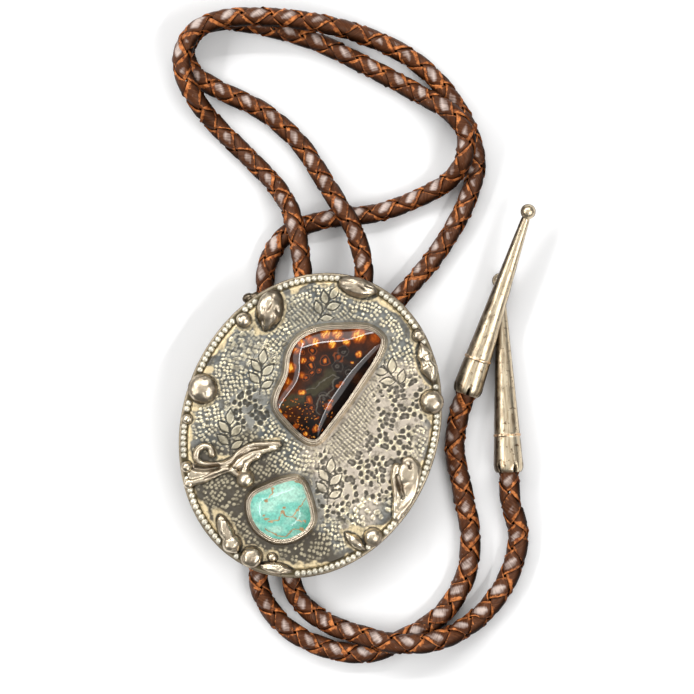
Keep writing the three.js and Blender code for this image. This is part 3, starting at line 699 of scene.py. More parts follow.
def local_distance(x, y, line):
    """Distance from points to a broken line in the plate's frame."""
    best = np.full(x.shape, 1e9)
    spots = [np.array(spot) for spot in line]
    for a, b in zip(spots, spots[1:]):
        d = b - a
        t = np.clip(((x - a[0]) * d[0] + (y - a[1]) * d[1]) / (d @ d), 0, 1)
        best = np.minimum(best, np.hypot(x - a[0] - t * d[0], y - a[1] - t * d[1]))
    return best


# Painted lit patches in the amber, which also glow: the pixel, the radius in millimetres and the heat of the
# colour.
AMBER_PATCHES = [
    (325.7, 334.5, 1.7, 0.75), (337.9, 334.5, 1.9, 0.7), (358.4, 335.5, 2.4, 0.85), (346.1, 342.6, 1.3, 1),
    (331.8, 344.7, 1.3, 1), (315.5, 341.6, 1.4, 0.8), (309.4, 338.6, 1.2, 0.45), (301.2, 342.7, 1.2, 0.6),
    (374.7, 338.6, 1.6, 0.3), (297.1, 350.8, 1.1, 0.5), (291, 367.1, 1.7, 0.8), (289, 381.4, 1.2, 0.5),
    (279.8, 410, 0.8, 0.9), (301.2, 375.3, 1.2, 0.45), (357.9, 354.4, 0.95, 0.75), (302.8, 391.6, 1, 0.8),
    (303.5, 360.5, 0.8, 0.7), (312, 358.5, 1, 0.6), (286.9, 388, 1.4, 0.15), (285, 416, 1, 0.35),
    (306.3, 433.3, 0.7, 0.8), (315.5, 428.4, 1.1, 0.55), (296, 426, 1, 0.3), (331, 400, 0.7, 0.45),
    (338, 386, 0.8, 0.4), (327.8, 406.5, 1.2, 0.5), (284, 399, 0.8, 0.2), (352, 362, 0.5, 0.95),
]
# Round banded spots: the pixel, the radius and the heat of the middle.
AMBER_SPOTS = [
    (313, 350.3, 1.5, 0.4), (311.4, 365.1, 1.3, 0.5), (325.2, 360.5, 1.7, 0.55), (320.6, 370.2, 1, 0.35),
    (312, 371.7, 1, 0.4), (338.5, 357.4, 1.8, 0.2), (343.1, 351.8, 1.6, 0), (336.9, 365.6, 1.7, 0),
    (348.2, 371.2, 1.5, 0.1), (309.4, 398.8, 1.6, 0.45), (311.4, 406.9, 1.1, 0.4), (341, 383, 1.4, 0.3),
    (325, 398, 1.9, 0.1), (306, 377, 1.2, 0.4), (302, 352, 1.2, 0.3),
]
AMBER_THREAD = [
    (305.7, 388.8), (315.6, 388), (321.4, 381.4), (328, 377.2), (333, 373.9), (338, 376.4), (333, 381.4),
    (333.8, 388.8), (328, 393.8), (319.8, 397.1), (316.4, 402.9), (317.3, 409.5), (319.8, 413.7),
]
AMBER_EDGE = [(284, 400), (290, 360), (318, 338), (376, 334)]
AMBER_OLIVE = [(286, 403), (300, 398), (318, 388), (328, 380), (331, 374)]
# Where the amber is full of fine specks: lines in pixels, and where the specks thin out and end.
AMBER_SPECKLED = [
    ([(284, 414), (300, 412), (312, 436)], 3.0, 5.0), ([(325, 402), (329, 414)], 0.9, 1.7),
    ([(314, 424), (316, 434)], 1.0, 1.8),
]
# The pitch along x and y and the jitter of the specks' lattice.
SPECK_CELL = (0.9, 0.9, 0.95)
# Spots with a middle cooler than this have a grey core.
COOL_SPOT = 0.15


def paint_amber(x, y):
    """The amber's colours: near black, with painted glow and painted lit patches at its edge, banded spots
    and fine specks, and the heat that sets its painted glow.
    """
    flat = in_space(x, y)
    wx, wy = warped(x, y, 0.35, 1.6, 101)
    cloud = 0.5 + 0.5 * rough_noise(flat, 3.0, 103)
    colour = np.full(x.shape + (3,), (0.007, 0.004, 0.003))
    colour = blend_to(colour, np.clip(cloud * 1.3 - 0.45, 0, 1), (0.05, 0.016, 0.005))
    # Painted glow: the amber is lighter orange near its edge.
    edge_glow = step_down(line_distance(x, y, AMBER_EDGE), 1.5, 7.0)
    colour = blend_to(colour, edge_glow * (0.35 + 0.5 * cloud), (0.115, 0.026, 0.006))
    olive = step_down(line_distance(wx, wy, AMBER_OLIVE), 0.9, 2.3)
    colour = blend_to(colour, 0.9 * olive, (0.052, 0.043, 0.02))
    heat = np.zeros(x.shape)
    for px, py, radius, middle in AMBER_SPOTS:
        d = spot_distance(wx, wy, px, py) / radius
        bands = 0.5 + 0.5 * np.cos(d * 9 + px)
        inside = step_down(d, 0.75, 1.15)
        colour = blend_to(colour, inside * 0.9, (0.012, 0.006, 0.004))
        tone = (0.1, 0.085, 0.07) if middle < COOL_SPOT else (0.24, 0.055, 0.012)
        colour = blend_to(colour, inside * bands**3 * 0.8, tone)
        core = step_down(d, 0.12, 0.5) * (middle > COOL_SPOT)
        heat = np.maximum(heat * (1 - 0.5 * inside), core * middle)
    # Painted lit patches: the heat here turns the amber bright orange and makes it glow.
    for px, py, radius, middle in AMBER_PATCHES:
        d = spot_distance(wx, wy, px, py) / radius
        wave = 0.72 + 0.28 * np.cos(6 * wx + 3 * rough_noise(flat, 1.0, 104) + px)
        heat = np.maximum(heat, step_down(d, 0.35, 1.15) * middle * wave * 1.15)
    d, pick = scattered_cells(wx, wy, *SPECK_CELL, 105)
    speckled = np.maximum.reduce([
        step_down(line_distance(x, y, line), *ends) for line, *ends in AMBER_SPECKLED
    ])
    specks = step_down(d, 0.05, 0.12 + 0.18 * pick) * (pick > 0.5) * speckled
    heat = np.maximum(heat, specks * (0.1 + 0.75 * pick))
    colour = blend_to(colour, step_down(np.abs(heat - 0.12), 0.02, 0.12) * 0.7, (0.1, 0.018, 0.003))
    colour = blend_to(colour, np.clip(heat * 2.2, 0, 1), (0.5, 0.095, 0.006))
    colour = blend_to(colour, np.clip(heat * 2.6 - 1.1, 0, 1), (1.0, 0.5, 0.07))
    thread = step_down(line_distance(wx, wy, AMBER_THREAD), 0.06, 0.26)
    colour = blend_to(colour, thread * (0.35 + 0.4 * cloud), (0.17, 0.15, 0.12))
    return colour, np.clip(heat, 0, 1)


# Veins: half the width and the line in pixels. Marks: the pixel and the radius.
TURQUOISE_VEINS = [
    (0.16, [(283, 511), (288, 515), (293, 514), (297, 509), (300, 508), (303, 500)]),
    (0.1, [(293, 514), (298, 518), (302, 520)]), (0.13, [(267, 526), (272, 530), (276, 533)]),
    (0.1, [(276, 533), (283, 535), (287, 533)]), (0.1, [(268, 500), (274, 488)]),
    (0.09, [(297, 480), (303, 481)]), (0.1, [(283, 511), (279, 517), (273, 519)]),
    (0.08, [(303, 500), (307, 497)]), (0.09, [(287, 533), (293, 527), (302, 527)]),
]
TURQUOISE_MARKS = [
    (285, 505, 0.45), (284, 511, 0.5), (300, 480, 0.55), (268, 500, 0.5), (274, 488, 0.4), (305, 519, 0.6),
    (302, 527, 0.65), (268, 517, 0.55), (271, 521, 0.45), (265, 512, 0.4), (276, 533, 0.45), (301, 505, 0.35),
]


def paint_turquoise(x, y):
    """The turquoise's colours: pale and deeper aqua, with tan matrix in thin veins and marks."""
    flat = in_space(x, y)
    wx, wy = warped(x, y, 0.45, 1.3, 111)
    cloud = 0.5 + 0.5 * rough_noise(in_space(x * 0.6 + y * 0.5, y * 1.4 - x * 0.7), 5.0, 113)
    colour = np.full(x.shape + (3,), (0.22, 0.7, 0.58))
    colour = blend_to(colour, np.clip(cloud * 2.0 - 0.7, 0, 1), (0.48, 0.9, 0.76))
    colour = blend_to(colour, step_down(spot_distance(x, y, 309, 520), 2.0, 6.5) * 0.75, (0.07, 0.42, 0.31))
    matrix = np.zeros(x.shape)
    ragged = 1 + 0.8 * rough_noise(flat, 0.8, 114)
    for width, line in TURQUOISE_VEINS:
        edge = width * ragged
        matrix = np.maximum(matrix, step_down(line_distance(wx, wy, line), edge, edge + 0.16))
    for px, py, radius in TURQUOISE_MARKS:
        matrix = np.maximum(matrix, step_down(spot_distance(wx, wy, px, py), radius * 0.7, radius * 1.15))
    tone = 0.5 + 0.5 * lattice_noise(flat, 0.9, 115)
    colour = blend_to(colour, np.clip(matrix * 1.2, 0, 1) * 0.35, (0.5, 0.5, 0.32))
    tan = np.array([0.4, 0.19, 0.06]) + tone[..., None] * np.array([0.28, 0.22, 0.14])
    return blend_to(colour, matrix * 0.85, tan), np.zeros(x.shape)


def pressed_leaves(x, y):
    """How much each point is on a leaf's face and on its outline."""
    face, line = np.zeros(x.shape), np.zeros(x.shape)
    for (cx, cy), turn, size in SPRIGS:
        a = math.radians(turn)
        u = ((x - cx) * math.sin(a) + (y - cy) * math.cos(a)) / size
        v = ((x - cx) * math.cos(a) - (y - cy) * math.sin(a)) / size
        near = (np.abs(u) < 7) & (np.abs(v) < 5)
        un, vn = u[near], v[near]
        leaf_face, leaf_line = np.zeros(un.shape), np.zeros(un.shape)
        for along, side, angle, length in SPRIG_LEAVES:
            b = math.radians(angle)
            p = (un - along) * math.cos(b) + (vn - 0.25 * side) * math.sin(b)
            q = -(un - along) * math.sin(b) + (vn - 0.25 * side) * math.cos(b)
            t = np.clip(p / length, 0, 1)
            half = 0.27 * length * np.sin(math.pi * t**0.85)
            gap = np.abs(q) - half
            gap = np.where((p < 0) | (p > length), np.hypot(np.where(p < 0, p, p - length), q), gap)
            leaf_face = np.maximum(leaf_face, step_down(gap, -0.2, -0.05))
            leaf_line = np.maximum(leaf_line, step_down(np.abs(gap), 0.1, 0.24) * (gap > -0.2))
        stem = step_down(np.abs(vn), 0.08, 0.2) * (un > -4.2) * (un < 3)
        line[near] = np.maximum(line[near], np.maximum(leaf_line, stem * (1 - leaf_face)))
        face[near] = np.maximum(face[near], leaf_face)
    return face, line


def pressed_stars(x, y, thin=0.1, wide=0.34):
    """Grooves that run out from the middle of each star stamp."""
    out = np.zeros(x.shape)
    for k, ((cx, cy), size) in enumerate(STARS):
        r = np.hypot(x - cx, y - cy)
        a = np.arctan2(y - cy, x - cx) + k
        ray = np.abs(np.sin(a * 4)) * r
        out = np.maximum(out, step_down(ray, thin, wide) * step_down(r, size * 0.8, size * 1.15))
    return out


# Runs of yellow solder: half the width in millimetres, and the line in pixels of the photograph.
SOLDER = [
    (0.9, [(211, 449), (214, 458), (224, 460), (233, 458), (240, 453)]),
    (0.8, [(257, 443), (267, 440), (278, 439)]), (0.9, [(188, 412), (190, 403), (198, 406)]),
    (0.8, [(202, 372), (212, 370)]), (0.8, [(256, 334), (254, 310)]),
    (0.9, [(352, 528), (362, 530), (364, 540)]), (0.5, [(398, 462), (395, 480), (397, 494)]),
]
# The rows of stamps fan out from a place on the plate's long axis, in steps of some degrees.
FAN_CENTRE = 14
FAN_STEP = 24
# Shares of the field's half width are turned into millimetres, about, by this.
REACH_MM = 38
# The pitch along x and y and the jitter of each stamp's lattice.
DOT_CELL = (1.12, 1.2, 0.45)
PIT_CELL = (1.6, 1.7, 0.7)
PEBBLE_CELL = (1.75, 2.1, 0.9)
# How high or deep the stamps are.
DOT_HEIGHT = 0.2
PIT_DEPTH = 0.3
RIDGE_HEIGHT = 0.08
PEBBLE_HEIGHT = 0.26
HASH_HEIGHT = 0.24
STAR_DEPTH = 0.22
LEAF_HEIGHT = 0.06
LEAF_LINE_DEPTH = 0.26


def relief(x, y):
    """The stamped field's height over its level, the values of its points and the gap to the stones."""
    flat = in_space(x, y)
    wx, wy = (c + 0.7 * lattice_noise(flat, 9, 41 + k) + 0.2 * lattice_noise(flat, 2.5, 43 + k)
              for k, c in enumerate((x, y)))
    stone_gap = np.minimum(*(outline_distance(x, y, stone) for stone in STONES))
    turn = np.radians(np.round(np.degrees(np.arctan2(wx, wy - FAN_CENTRE)) / FAN_STEP) * FAN_STEP)
    u = wx * np.cos(turn) - (wy - FAN_CENTRE) * np.sin(turn)
    v = wx * np.sin(turn) + (wy - FAN_CENTRE) * np.cos(turn)

    # Each kind of stamp has a share of the field, which fades from one place to another.
    def here(cx, cy, rx, ry):
        wander = 0.25 * lattice_noise(flat, 5, 50 + int(cx))
        return step_down(np.hypot((x - cx) / rx, (y - cy) / ry) + wander, 0.8, 1.15)

    pits = np.maximum.reduce([here(20, 2, 13, 17), here(15, -14, 13, 13) * 0.95, here(25, 16, 7, 8),
                              here(-18.4, -1.4, 8, 6.5)])
    pebbles = np.maximum(here(25.5, -18.5, 7.5, 6), here(-26, 14, 5, 6) * 0.5)
    hash_lines = np.maximum(here(14, 4, 9, 15), here(-6, 30, 12, 6) * 0.8)
    low = np.maximum(here(-14, -27, 22, 18), here(8, -36, 17, 8))
    warm = np.maximum(here(18, 0, 16, 22), here(22, 18, 9, 12))
    pits = pits * (1 - 0.9 * here(11, 4, 6, 12)) * (1 - here(25.5, -18.5, 6, 5))
    dot_share = np.clip(1 - pits - pebbles - hash_lines, 0, 1)

    d, pick = scattered_cells(u, v, *DOT_CELL, 5)
    gone = 0.12 + 0.35 * low * (0.5 + rough_noise(flat, 5, 53))
    dots = step_down(d, 0.2 + 0.1 * pick, 0.4 + 0.08 * pick) * step_down(gone - pick, -0.02, 0.02)
    d, pick = scattered_cells(u, v, *PIT_CELL, 6)
    holes = step_down(d, 0.22 + 0.2 * pick, 0.4 + 0.26 * pick) * (pick > 0.3)
    ridges = step_down(np.abs(d - 0.5 - 0.24 * pick), 0.05, 0.18) * (pick > 0.3)
    d, pick = scattered_cells(u, v, *PEBBLE_CELL, 7)
    stones = step_down(d, 0.16 + 0.14 * pick, 0.34 + 0.16 * pick) * (pick > 0.15)
    strokes = 0.5 + 0.5 * np.sin(2 * math.pi * (wx * 0.42 + wy * 0.91) / 1.05)
    wander = 3 * lattice_noise(flat, 3, 45)
    breaks = 0.5 + 0.5 * np.sin(2 * math.pi * (wx * 0.91 - wy * 0.42) / 1.6 + wander)
    hashed = np.clip(strokes * 1.3 - 0.35 - 0.75 * step_down(breaks, 0.1, 0.45), 0, 1)
    unpitted = hash_lines * (1 - pits)

    height = DOT_HEIGHT * dots * dot_share * (1 - 0.4 * low) - PIT_DEPTH * holes * pits
    height = height + PEBBLE_HEIGHT * stones * pebbles + HASH_HEIGHT * hashed * hash_lines * (1 - 0.8 * pits)
    height = height + RIDGE_HEIGHT * ridges * pits
    bright = dots * dot_share * (1 - 0.45 * low) + stones * pebbles
    bright = bright + hashed * unpitted + 1.1 * ridges * pits
    dark = 0.62 * holes * pits + 0.35 * np.clip(1 - 1.6 * hashed, 0, 1) * unpitted

    stars = pressed_stars(x, y)
    near_star = pressed_stars(x, y, 0.55, 0.95) - stars
    height = height * (1 - 0.6 * stars) - STAR_DEPTH * stars + 0.1 * near_star
    bright = np.maximum(bright, 0.9 * near_star)
    dark = np.maximum(dark * (1 - stars), stars * 0.8)
    leaf, line = pressed_leaves(x, y)
    calm = 1 - np.clip(leaf + line, 0, 1)
    height = height * calm + LEAF_HEIGHT * leaf - LEAF_LINE_DEPTH * line
    bright = bright * calm + 0.55 * leaf
    dark = np.maximum(dark * calm, line)

    # Painted shade: a dark line round the stones, drops and castings where they meet the field.
    contact = step_down(stone_gap, 0.05, 0.5)
    solder = np.zeros(x.shape)
    ragged = 0.35 * rough_noise(flat, 2.2, 52)
    for row in DROPS:
        beyond = drop_distance(row, x, y)
        contact = np.maximum(contact, step_down(beyond, 0.1, 0.32))
        solder = np.maximum(solder, 0.85 * step_down(beyond + ragged, 0.55, 0.95))
    for _, place, rods, *_ in CASTINGS:
        for radius, _, line in rods:
            gap = local_distance(x, y, [(place[0] + px, place[1] + py) for px, py in line]) - radius
            contact = np.maximum(contact, step_down(gap, 0.0, 0.55))
    for width, line in SOLDER:
        solder = np.maximum(solder, step_down(line_distance(wx, wy, line), width, width + 0.5))
    margin = (1 - ellipse_reach(x, y, 2.7)) * REACH_MM
    at_rim = step_down(margin + 1.3 * rough_noise(flat, 3.5, 51), 0.2, 0.9)
    solder = np.maximum(solder, at_rim) * (1 - contact)
    margin = margin + 1.1 * lattice_noise(flat, 6, 46)
    quiet = np.clip(1 - step_down(margin, 0.8, 2.4) - step_down(stone_gap, 0.8, 2.0), 0, 1)
    dark = np.maximum(dark * quiet * (1 - solder), 0.9 * contact)
    worn = 0.5 + 0.5 * rough_noise(flat, 4, 47)
    bright = bright * quiet * (0.55 + 0.45 * np.clip(worn * 1.6, 0, 1))
    height = height * quiet * (1 - 0.8 * solder)
    height = height + 0.1 * rough_noise(flat, 7, 48) + 0.035 * rough_noise(flat, 0.9, 49)
    shade = np.clip(low + 0.6 * step_down(margin, 0.3, 2.2), 0, 1)
    values = {"bright": bright, "dark": dark, "warm": np.clip(warm, 0, 1), "shade": shade, "solder": solder}
    return height, values, stone_gap


FIELD_SPACING = 0.24
FIELD_INSET = 2.62
# The field goes this far under the stones.
FIELD_OVERLAP = 0.5


def field_mesh():
    """The stamped field as a fine net over the plate, cut at its oval edge and under the stones."""
    xs, ys = (np.arange(-reach - FIELD_SPACING, reach + 2 * FIELD_SPACING, FIELD_SPACING)
              for reach in (PLATE_WIDTH / 2 - FIELD_INSET, PLATE_LENGTH / 2 - FIELD_INSET))
    x, y = np.meshgrid(xs, ys)
    reach = ellipse_reach(x, y, FIELD_INSET)
    height, values, stone_gap = relief(x, y)
    # Painted shade in recesses: points lower than the field round them are darkened.
    blurred = height.copy()
    for axis in (0, 1):
        blurred = sum(np.roll(blurred, shift, axis) for shift in range(-3, 4)) / 7
    dark, cavity_shade = values["dark"], np.clip((blurred - height) * 9 - 0.12, 0, 0.9)
    values["dark"] = np.clip(dark + cavity_shade * (1 - 0.75 * dark), 0, 1)
    z = FACE + height - 0.5 * step_down((1 - np.minimum(reach, 1)) * REACH_MM, 0.0, 0.45)
    scale = 1 / np.maximum(reach, 1)

    def any_corner(mask):
        return mask[:-1, :-1] | mask[:-1, 1:] | mask[1:, :-1] | mask[1:, 1:]

    cells = any_corner(reach < 1) & any_corner(stone_gap > -FIELD_OVERLAP)
    faces = grid_faces(len(ys), len(xs), False)[cells.ravel()]
    used = np.unique(faces)
    number = np.full(x.size, -1)
    number[used] = np.arange(len(used))
    points = in_space(x * scale, y * scale, z).reshape(-1, 3)[used]
    return points, number[faces], {key: value.ravel()[used] for key, value in values.items()}


def field_material():
    """Blackened silver with bright raised stamps, yellow solder and dark hollows, with painted shade in
    recesses and where parts meet the field.
    """
    n = Nodes("stamped_silver")
    bright, dark = n.attribute("bright"), n.attribute("dark")
    patches = n.noise(120, detail=6, rough=0.6)
    ground = n.blend(patches, 0.35, 0.65, (0.14, 0.155, 0.16), (0.37, 0.36, 0.32))
    ground = n.mix(n.times(n.attribute("warm"), 0.75), ground, (0.78, 0.67, 0.54))
    ground = n.mix(n.times(n.attribute("shade"), 0.8), ground, (0.08, 0.062, 0.042))
    colour = n.mix(bright, ground, (0.95, 0.84, 0.58))
    colour = n.mix(n.attribute("solder"), colour, (0.9, 0.74, 0.46))
    # Dark pits and grooves, with the painted shade of recesses and of the parts' edges on the field.
    colour = n.mix(n.times(dark, 0.93), colour, (0.028, 0.024, 0.013))
    # Dirt: dark in small patches from noise.
    darkening = n.ramp(n.noise(700, detail=4), [(0.36, 0.55), (0.5, 0)])
    colour = n.mix(darkening, colour, (0.1, 0.085, 0.06))
    rough = n.mix(bright, n.ramp(patches, [(0.3, 0.55), (0.7, 0.42)]), (0.28, 0.28, 0.28))
    metal = n.ramp(dark, [(0.3, 0.85), (0.9, 0.3)])
    normal = n.bump(n.noise(1800, detail=3), 0.05, 0.7)
    return n.set(Base_Color=colour, Metallic=metal, Roughness=rough, Normal=normal)


# The section of the plate's bare edge, from under the field out to the rim and back below: inset, height.
FLANGE = [(3.4, 1.38)] + [(inset, PLATE_THICKNESS) for inset in (2.9, 2.5, 2.1, 1.7, 1.3, 1.0, 0.7)] + [
    (0.32, 1.36), (0.1, 1.24), (0.0, 1.02), (0.0, 0.28), (0.15, 0.06), (0.45, 0.0), (6.0, 0.0), (20.0, 0.0),
    (36.0, 0.0),
]
BEAD_RADIUS = 0.86
BEAD_PITCH = 1.71
BEAD_INSET = 1.5
BEAD_LIFT = 0.42


def flange(count=360):
    """The plate's bare edge: a rounded rim outside the field, its side wall and the flat back, with painted
    shade on the rim under the beads.
    """
    angles = np.linspace(0, 2 * math.pi, count, endpoint=False)
    rings = []
    for inset, z in FLANGE:
        ring = in_space(*on_oval(angles, inset), z)
        if z > 0:
            wobble = rough_noise(ring, 2.4, 61)
            ring[:, 2] += 0.05 * wobble
            ring[:, :2] *= (1 - 0.0012 * (1 + wobble))[:, None]
        rings.append(ring)
    points = np.vstack(rings)
    faces = tube_faces(len(FLANGE), count, inside_out=True, first_end=False)
    inset = (1 - ellipse_reach(points[:, 0], points[:, 1])) * PLATE_WIDTH / 2
    # Painted shade on the top of the rim, under and round the beads.
    shade_under_beads = step_down(np.abs(inset - 1.7), 0.8, 1.15) * (points[:, 2] > 1)
    return points, faces, {"dark": shade_under_beads}


def ball_mesh(count_around, count_up):
    """A unit ball's points and faces, closed by a fan at each pole."""
    phi = np.linspace(0, math.pi, count_up + 1)[1:-1, None]
    theta = np.linspace(0, 2 * math.pi, count_around, endpoint=False)
    body = in_space(np.sin(phi) * np.cos(theta), np.sin(phi) * np.sin(theta), np.cos(phi)).reshape(-1, 3)
    faces = grid_faces(count_up - 1, count_around)[:, ::-1].tolist()
    top, last = len(body), len(body) - count_around
    for i in range(count_around):
        j = (i + 1) % count_around
        faces += [[i, j, top], [last + j, last + i, top + 1]]
    return np.vstack([body, [[0, 0, 1], [0, 0, -1]]]), faces


def on_plate(around, inset):
    """A place in from the plate's edge, at degrees clockwise from its top."""
    a = math.radians(around)
    return np.array([(PLATE_WIDTH / 2 - inset) * math.sin(a), (PLATE_LENGTH / 2 - inset) * math.cos(a)])


def edge_direction(around):
    """The bearing of the plate's edge there, in degrees."""
    a = math.radians(around)
    return math.degrees(math.atan2(-PLATE_LENGTH * math.sin(a), PLATE_WIDTH * math.cos(a)))


def drop_distance(row, x, y):
    """How far outside a drop's oval a point is, about, in mm."""
    around, inset, along, across, _, turn, _ = row
    cx, cy = on_plate(around, inset)
    a = math.radians(edge_direction(around) + turn)
    p = (x - cx) * math.cos(a) + (y - cy) * math.sin(a)
    q = (y - cy) * math.cos(a) - (x - cx) * math.sin(a)
    return (np.hypot(p * 2 / along, q * 2 / across) - 1) * min(along, across) / 2


# Drops of melted silver: degrees round the plate, inset from its edge, length, width, height and turn
# against the edge, and which end is drawn to a point: 1 ahead, -1 behind, 2 both.
DROPS = [
    (-1, 2.9, 12, 6.2, 3.2, 3, 1), (-46, 6, 12.2, 7.8, 3.8, 45, -1), (-58, 3.6, 4.6, 4.6, 2.8, 0, 0),
    (-91, 4.4, 8.8, 8.6, 3.6, 0, 0), (-104, 2.1, 3.1, 3.1, 1.9, 0, 0),
    (-123, 2, 3.6, 3.5, 2.4, 0, 0), (35.5, 1.9, 3.8, 3.7, 2.4, 0, 0), (48, 2.7, 12.6, 5.4, 3.1, 2, 2),
    (64, 3, 7, 7, 3.4, 0, 0), (125, 3, 5.6, 5.6, 3, 0, 0), (132.4, 5, 8, 3.5, 2.8, 107, 2),
    (-157.7, 4.9, 10.6, 4.3, 2.9, -19.5, 0), (-163.6, 3.5, 6.4, 5.6, 3.2, -19.5, -1),
    (-175, 3.4, 6.5, 6.5, 3.3, 0, 0), (175, 5.4, 3, 2.8, 1.6, 0, 0), (172, 2.5, 10, 3.6, 2.4, 0, 2),
]
SLIT_DROPS = (0, 1)
WAISTED_DROP = 7


def drop_points(row, number, unit):
    """A drop's points and how dark each is: a ball pressed flat, with lumps, dents and drawn-out ends."""
    around, inset, along, across, up, turn, point = row
    rough = 1 if along > 1.2 * across else 0.45
    ux, upper = unit[:, 0], unit[:, 2] > 0
    own = unit + number * 3
    lumps = 0.09 * lattice_noise(own, 0.9, 70) + 0.05 * rough_noise(own, 0.35, 71)
    dents = np.clip(lattice_noise(unit * [1, 1, 0.6] + number * 5, 0.36, 72) - 0.35, 0, 1)
    shape = unit * (1 + rough * (lumps - 0.22 * dents * upper))[:, None]
    ends = (point in (1, 2)) * np.clip(ux, 0, 1) + (point in (-1, 2)) * np.clip(-ux, 0, 1)
    waist = 0.3 * (number == WAISTED_DROP) * step_down(np.abs(ux + 0.1), 0.05, 0.3)
    shape[:, 1:] *= ((1 - 0.62 * ends**2.2) * (1 - waist))[:, None]
    bend = unit[:, 1] + 0.5 * ux - 0.1
    slit = step_down(np.abs(bend), 0.02, 0.13) * step_down(np.abs(ux - 0.15), 0.1, 0.3)
    slit = slit * (number in SLIT_DROPS)
    shape[:, 2] -= 0.12 * slit * upper
    p = turned(shape * [along / 2, across / 2, up * 0.75], edge_direction(around) + turn,
               on_plate(around, inset))
    p[:, 2] = np.maximum(p[:, 2] + PLATE_THICKNESS + up * 0.35, 0.6)
    # Painted shade: each drop is darker on its lower part, towards the field; its slit and dents are dark
    # too.
    low = step_down(unit[:, 2] + 0.25 * rough_noise(unit + number, 0.6, 73), 0.12, 0.66)
    return p, np.maximum(low, slit + 0.8 * rough * dents)


def beads():
    """The border of beads in the plate's bare edge, left out where a drop lies."""
    unit, faces = ball_mesh(16, 10)
    rounded = np.sign(unit) * np.abs(unit) ** 0.86
    line = np.stack(on_oval(np.linspace(0, 2 * math.pi, 4000), BEAD_INSET), 1)
    run = run_along(line)
    parts = []
    random = np.random.default_rng(19)
    for at in np.linspace(0, run[-1], round(run[-1] / BEAD_PITCH), endpoint=False):
        x, y = read_along(at, run, line)
        if min(drop_distance(row, x, y) for row in DROPS) < 0.2:
            continue
        size = BEAD_RADIUS * random.uniform(0.93, 1.04)
        shift = random.uniform(-0.07, 0.07, 2)
        shape = rounded * (1 + 0.03 * lattice_noise(unit + at, 0.8, 81))[:, None] * [size, size, size * 0.8]
        parts.append((shape + [x + shift[0], y + shift[1], PLATE_THICKNESS + BEAD_LIFT], faces))
    return several(parts)


# The section of a bezel's wall: how far in from its outline, and the height from the face or below the top.
BEZEL_FOOT = [(-0.75, -0.3), (-0.7, 0.05), (-0.5, 0.3), (-0.3, 0.9), (-0.16, 1.5)]
BEZEL_RIM = [
    (-0.1, 1.0), (0.0, 0.7), (0.12, 0.42), (0.3, 0.34), (0.4, 0.6), (0.46, 0.6), (0.54, 0.22), (0.68, 0.04),
    (0.86, 0.0), (0.98, 0.3), (1.04, 0.3), (1.12, 0.04), (1.28, 0.06), (1.38, 0.35), (1.3, 1.4),
]


def bezel(stone, count=420):
    """The wall of thin metal round a stone, rubbed over its edge, with a wavy rim in layers."""
    line, _ = closed_outline(stone, 0, count)
    base = in_space(*line.T)
    section = BEZEL_FOOT + [(inset, BEZEL_HEIGHT - below) for inset, below in BEZEL_RIM]
    rings = []
    for inset, z in section:
        share = np.clip(z / BEZEL_HEIGHT, 0, 1)
        wave = rough_noise(base, 3.2, 91) * 0.12 * share
        ring = in_space(*closed_outline(stone, inset, count)[0].T, FACE + z + wave)
        ragged = (0.07 + 0.1 * (inset > 1)) * share * rough_noise(base + 0.7 * inset, 3.4, 92, 2)
        ring[:, :2] += 0.7 * ragged[:, None]
        rings.append(ring)
    return np.vstack(rings), grid_faces(len(rings), count)


def stone_dome(stone, count=480, rows=100):
    """A stone's polished dome, from its girdle in the bezel to a fan at the crown."""
    height = STONES[stone][3]
    girdle, middle = closed_outline(stone, BEZEL_WALL + 0.12, count)
    shoulder = FACE + BEZEL_HEIGHT - 0.35
    dome = FACE + height - shoulder
    rings = [in_space(*girdle.T, FACE + 0.3)]
    waves = np.fft.fft((girdle - middle) @ [1, 1j])
    number = np.abs(np.fft.fftfreq(count, 1 / count))
    for share in np.linspace(0, 1, rows)[:-1]:
        kept = np.exp(-((0.55 * share * np.maximum(number - 1, 0)) ** 2))
        softened = np.fft.ifft(waves * kept) * (1 - share)
        rise = 1 - (1 - share) ** 2.6
        rings.append(in_space(middle[0] + softened.real, middle[1] + softened.imag, shoulder + dome * rise))
    points = np.vstack(rings + [[[*middle, shoulder + dome]]])
    faces = tube_faces(len(rings), count, last_end=False)
    last = (len(rings) - 1) * count
    faces += [[last + i, last + (i + 1) % count, len(points) - 1] for i in range(count)]
    return points, faces


# Castings: rods as the radius, the thin end's share of it and the middle line; lumps as the place, the
# three half sizes and the turn; hollows as a line in pixels and the width.
TWIG_RODS = [
    (0.95, 0.8, [(-0.9, 5.6), (-2.7, 8), (-4.4, 7.9), (-5.8, 6.2), (-5.4, 3.9), (-3.3, 2.8),
                 (-0.8, 3.4), (2.8, 5), (4.6, 6.9), (6, 10), (8.4, 12.7), (11.8, 14.4), (16.8, 16.2)]),
    (1.25, 0.6, [(5.5, 4.5), (6.9, 7.4), (8.7, 10.3), (11.7, 12.2), (16, 15.1)]),
    (1.3, 0.8, [(10.3, 3), (8.6, 6.1), (9.4, 9), (12.1, 11.2)]),
    (1.2, 0.8, [(-4.7, -3.7), (-1.2, -1.2), (1.7, 1.8), (4.7, 3.9), (8.1, 3.2)]),
]
TWIG_LUMPS = [(10.3, 3, 2.7, 2.7, 2.4, 0), (-4.9, -3.9, 1.6, 1.6, 1.3, 0), (-2.6, 0.6, 4.5, 3.2, 0.9, 35)]
TWIG_HOLLOWS = [
    ([(231, 466), (237, 457), (251, 450), (268, 446)], 0.6), ([(241.5, 469), (245, 461), (255.5, 455)], 0.6),
    ([(196, 467), (206, 468), (218, 466)], 1.5), ([(232, 468), (222, 472), (205, 478)], 0.5),
]
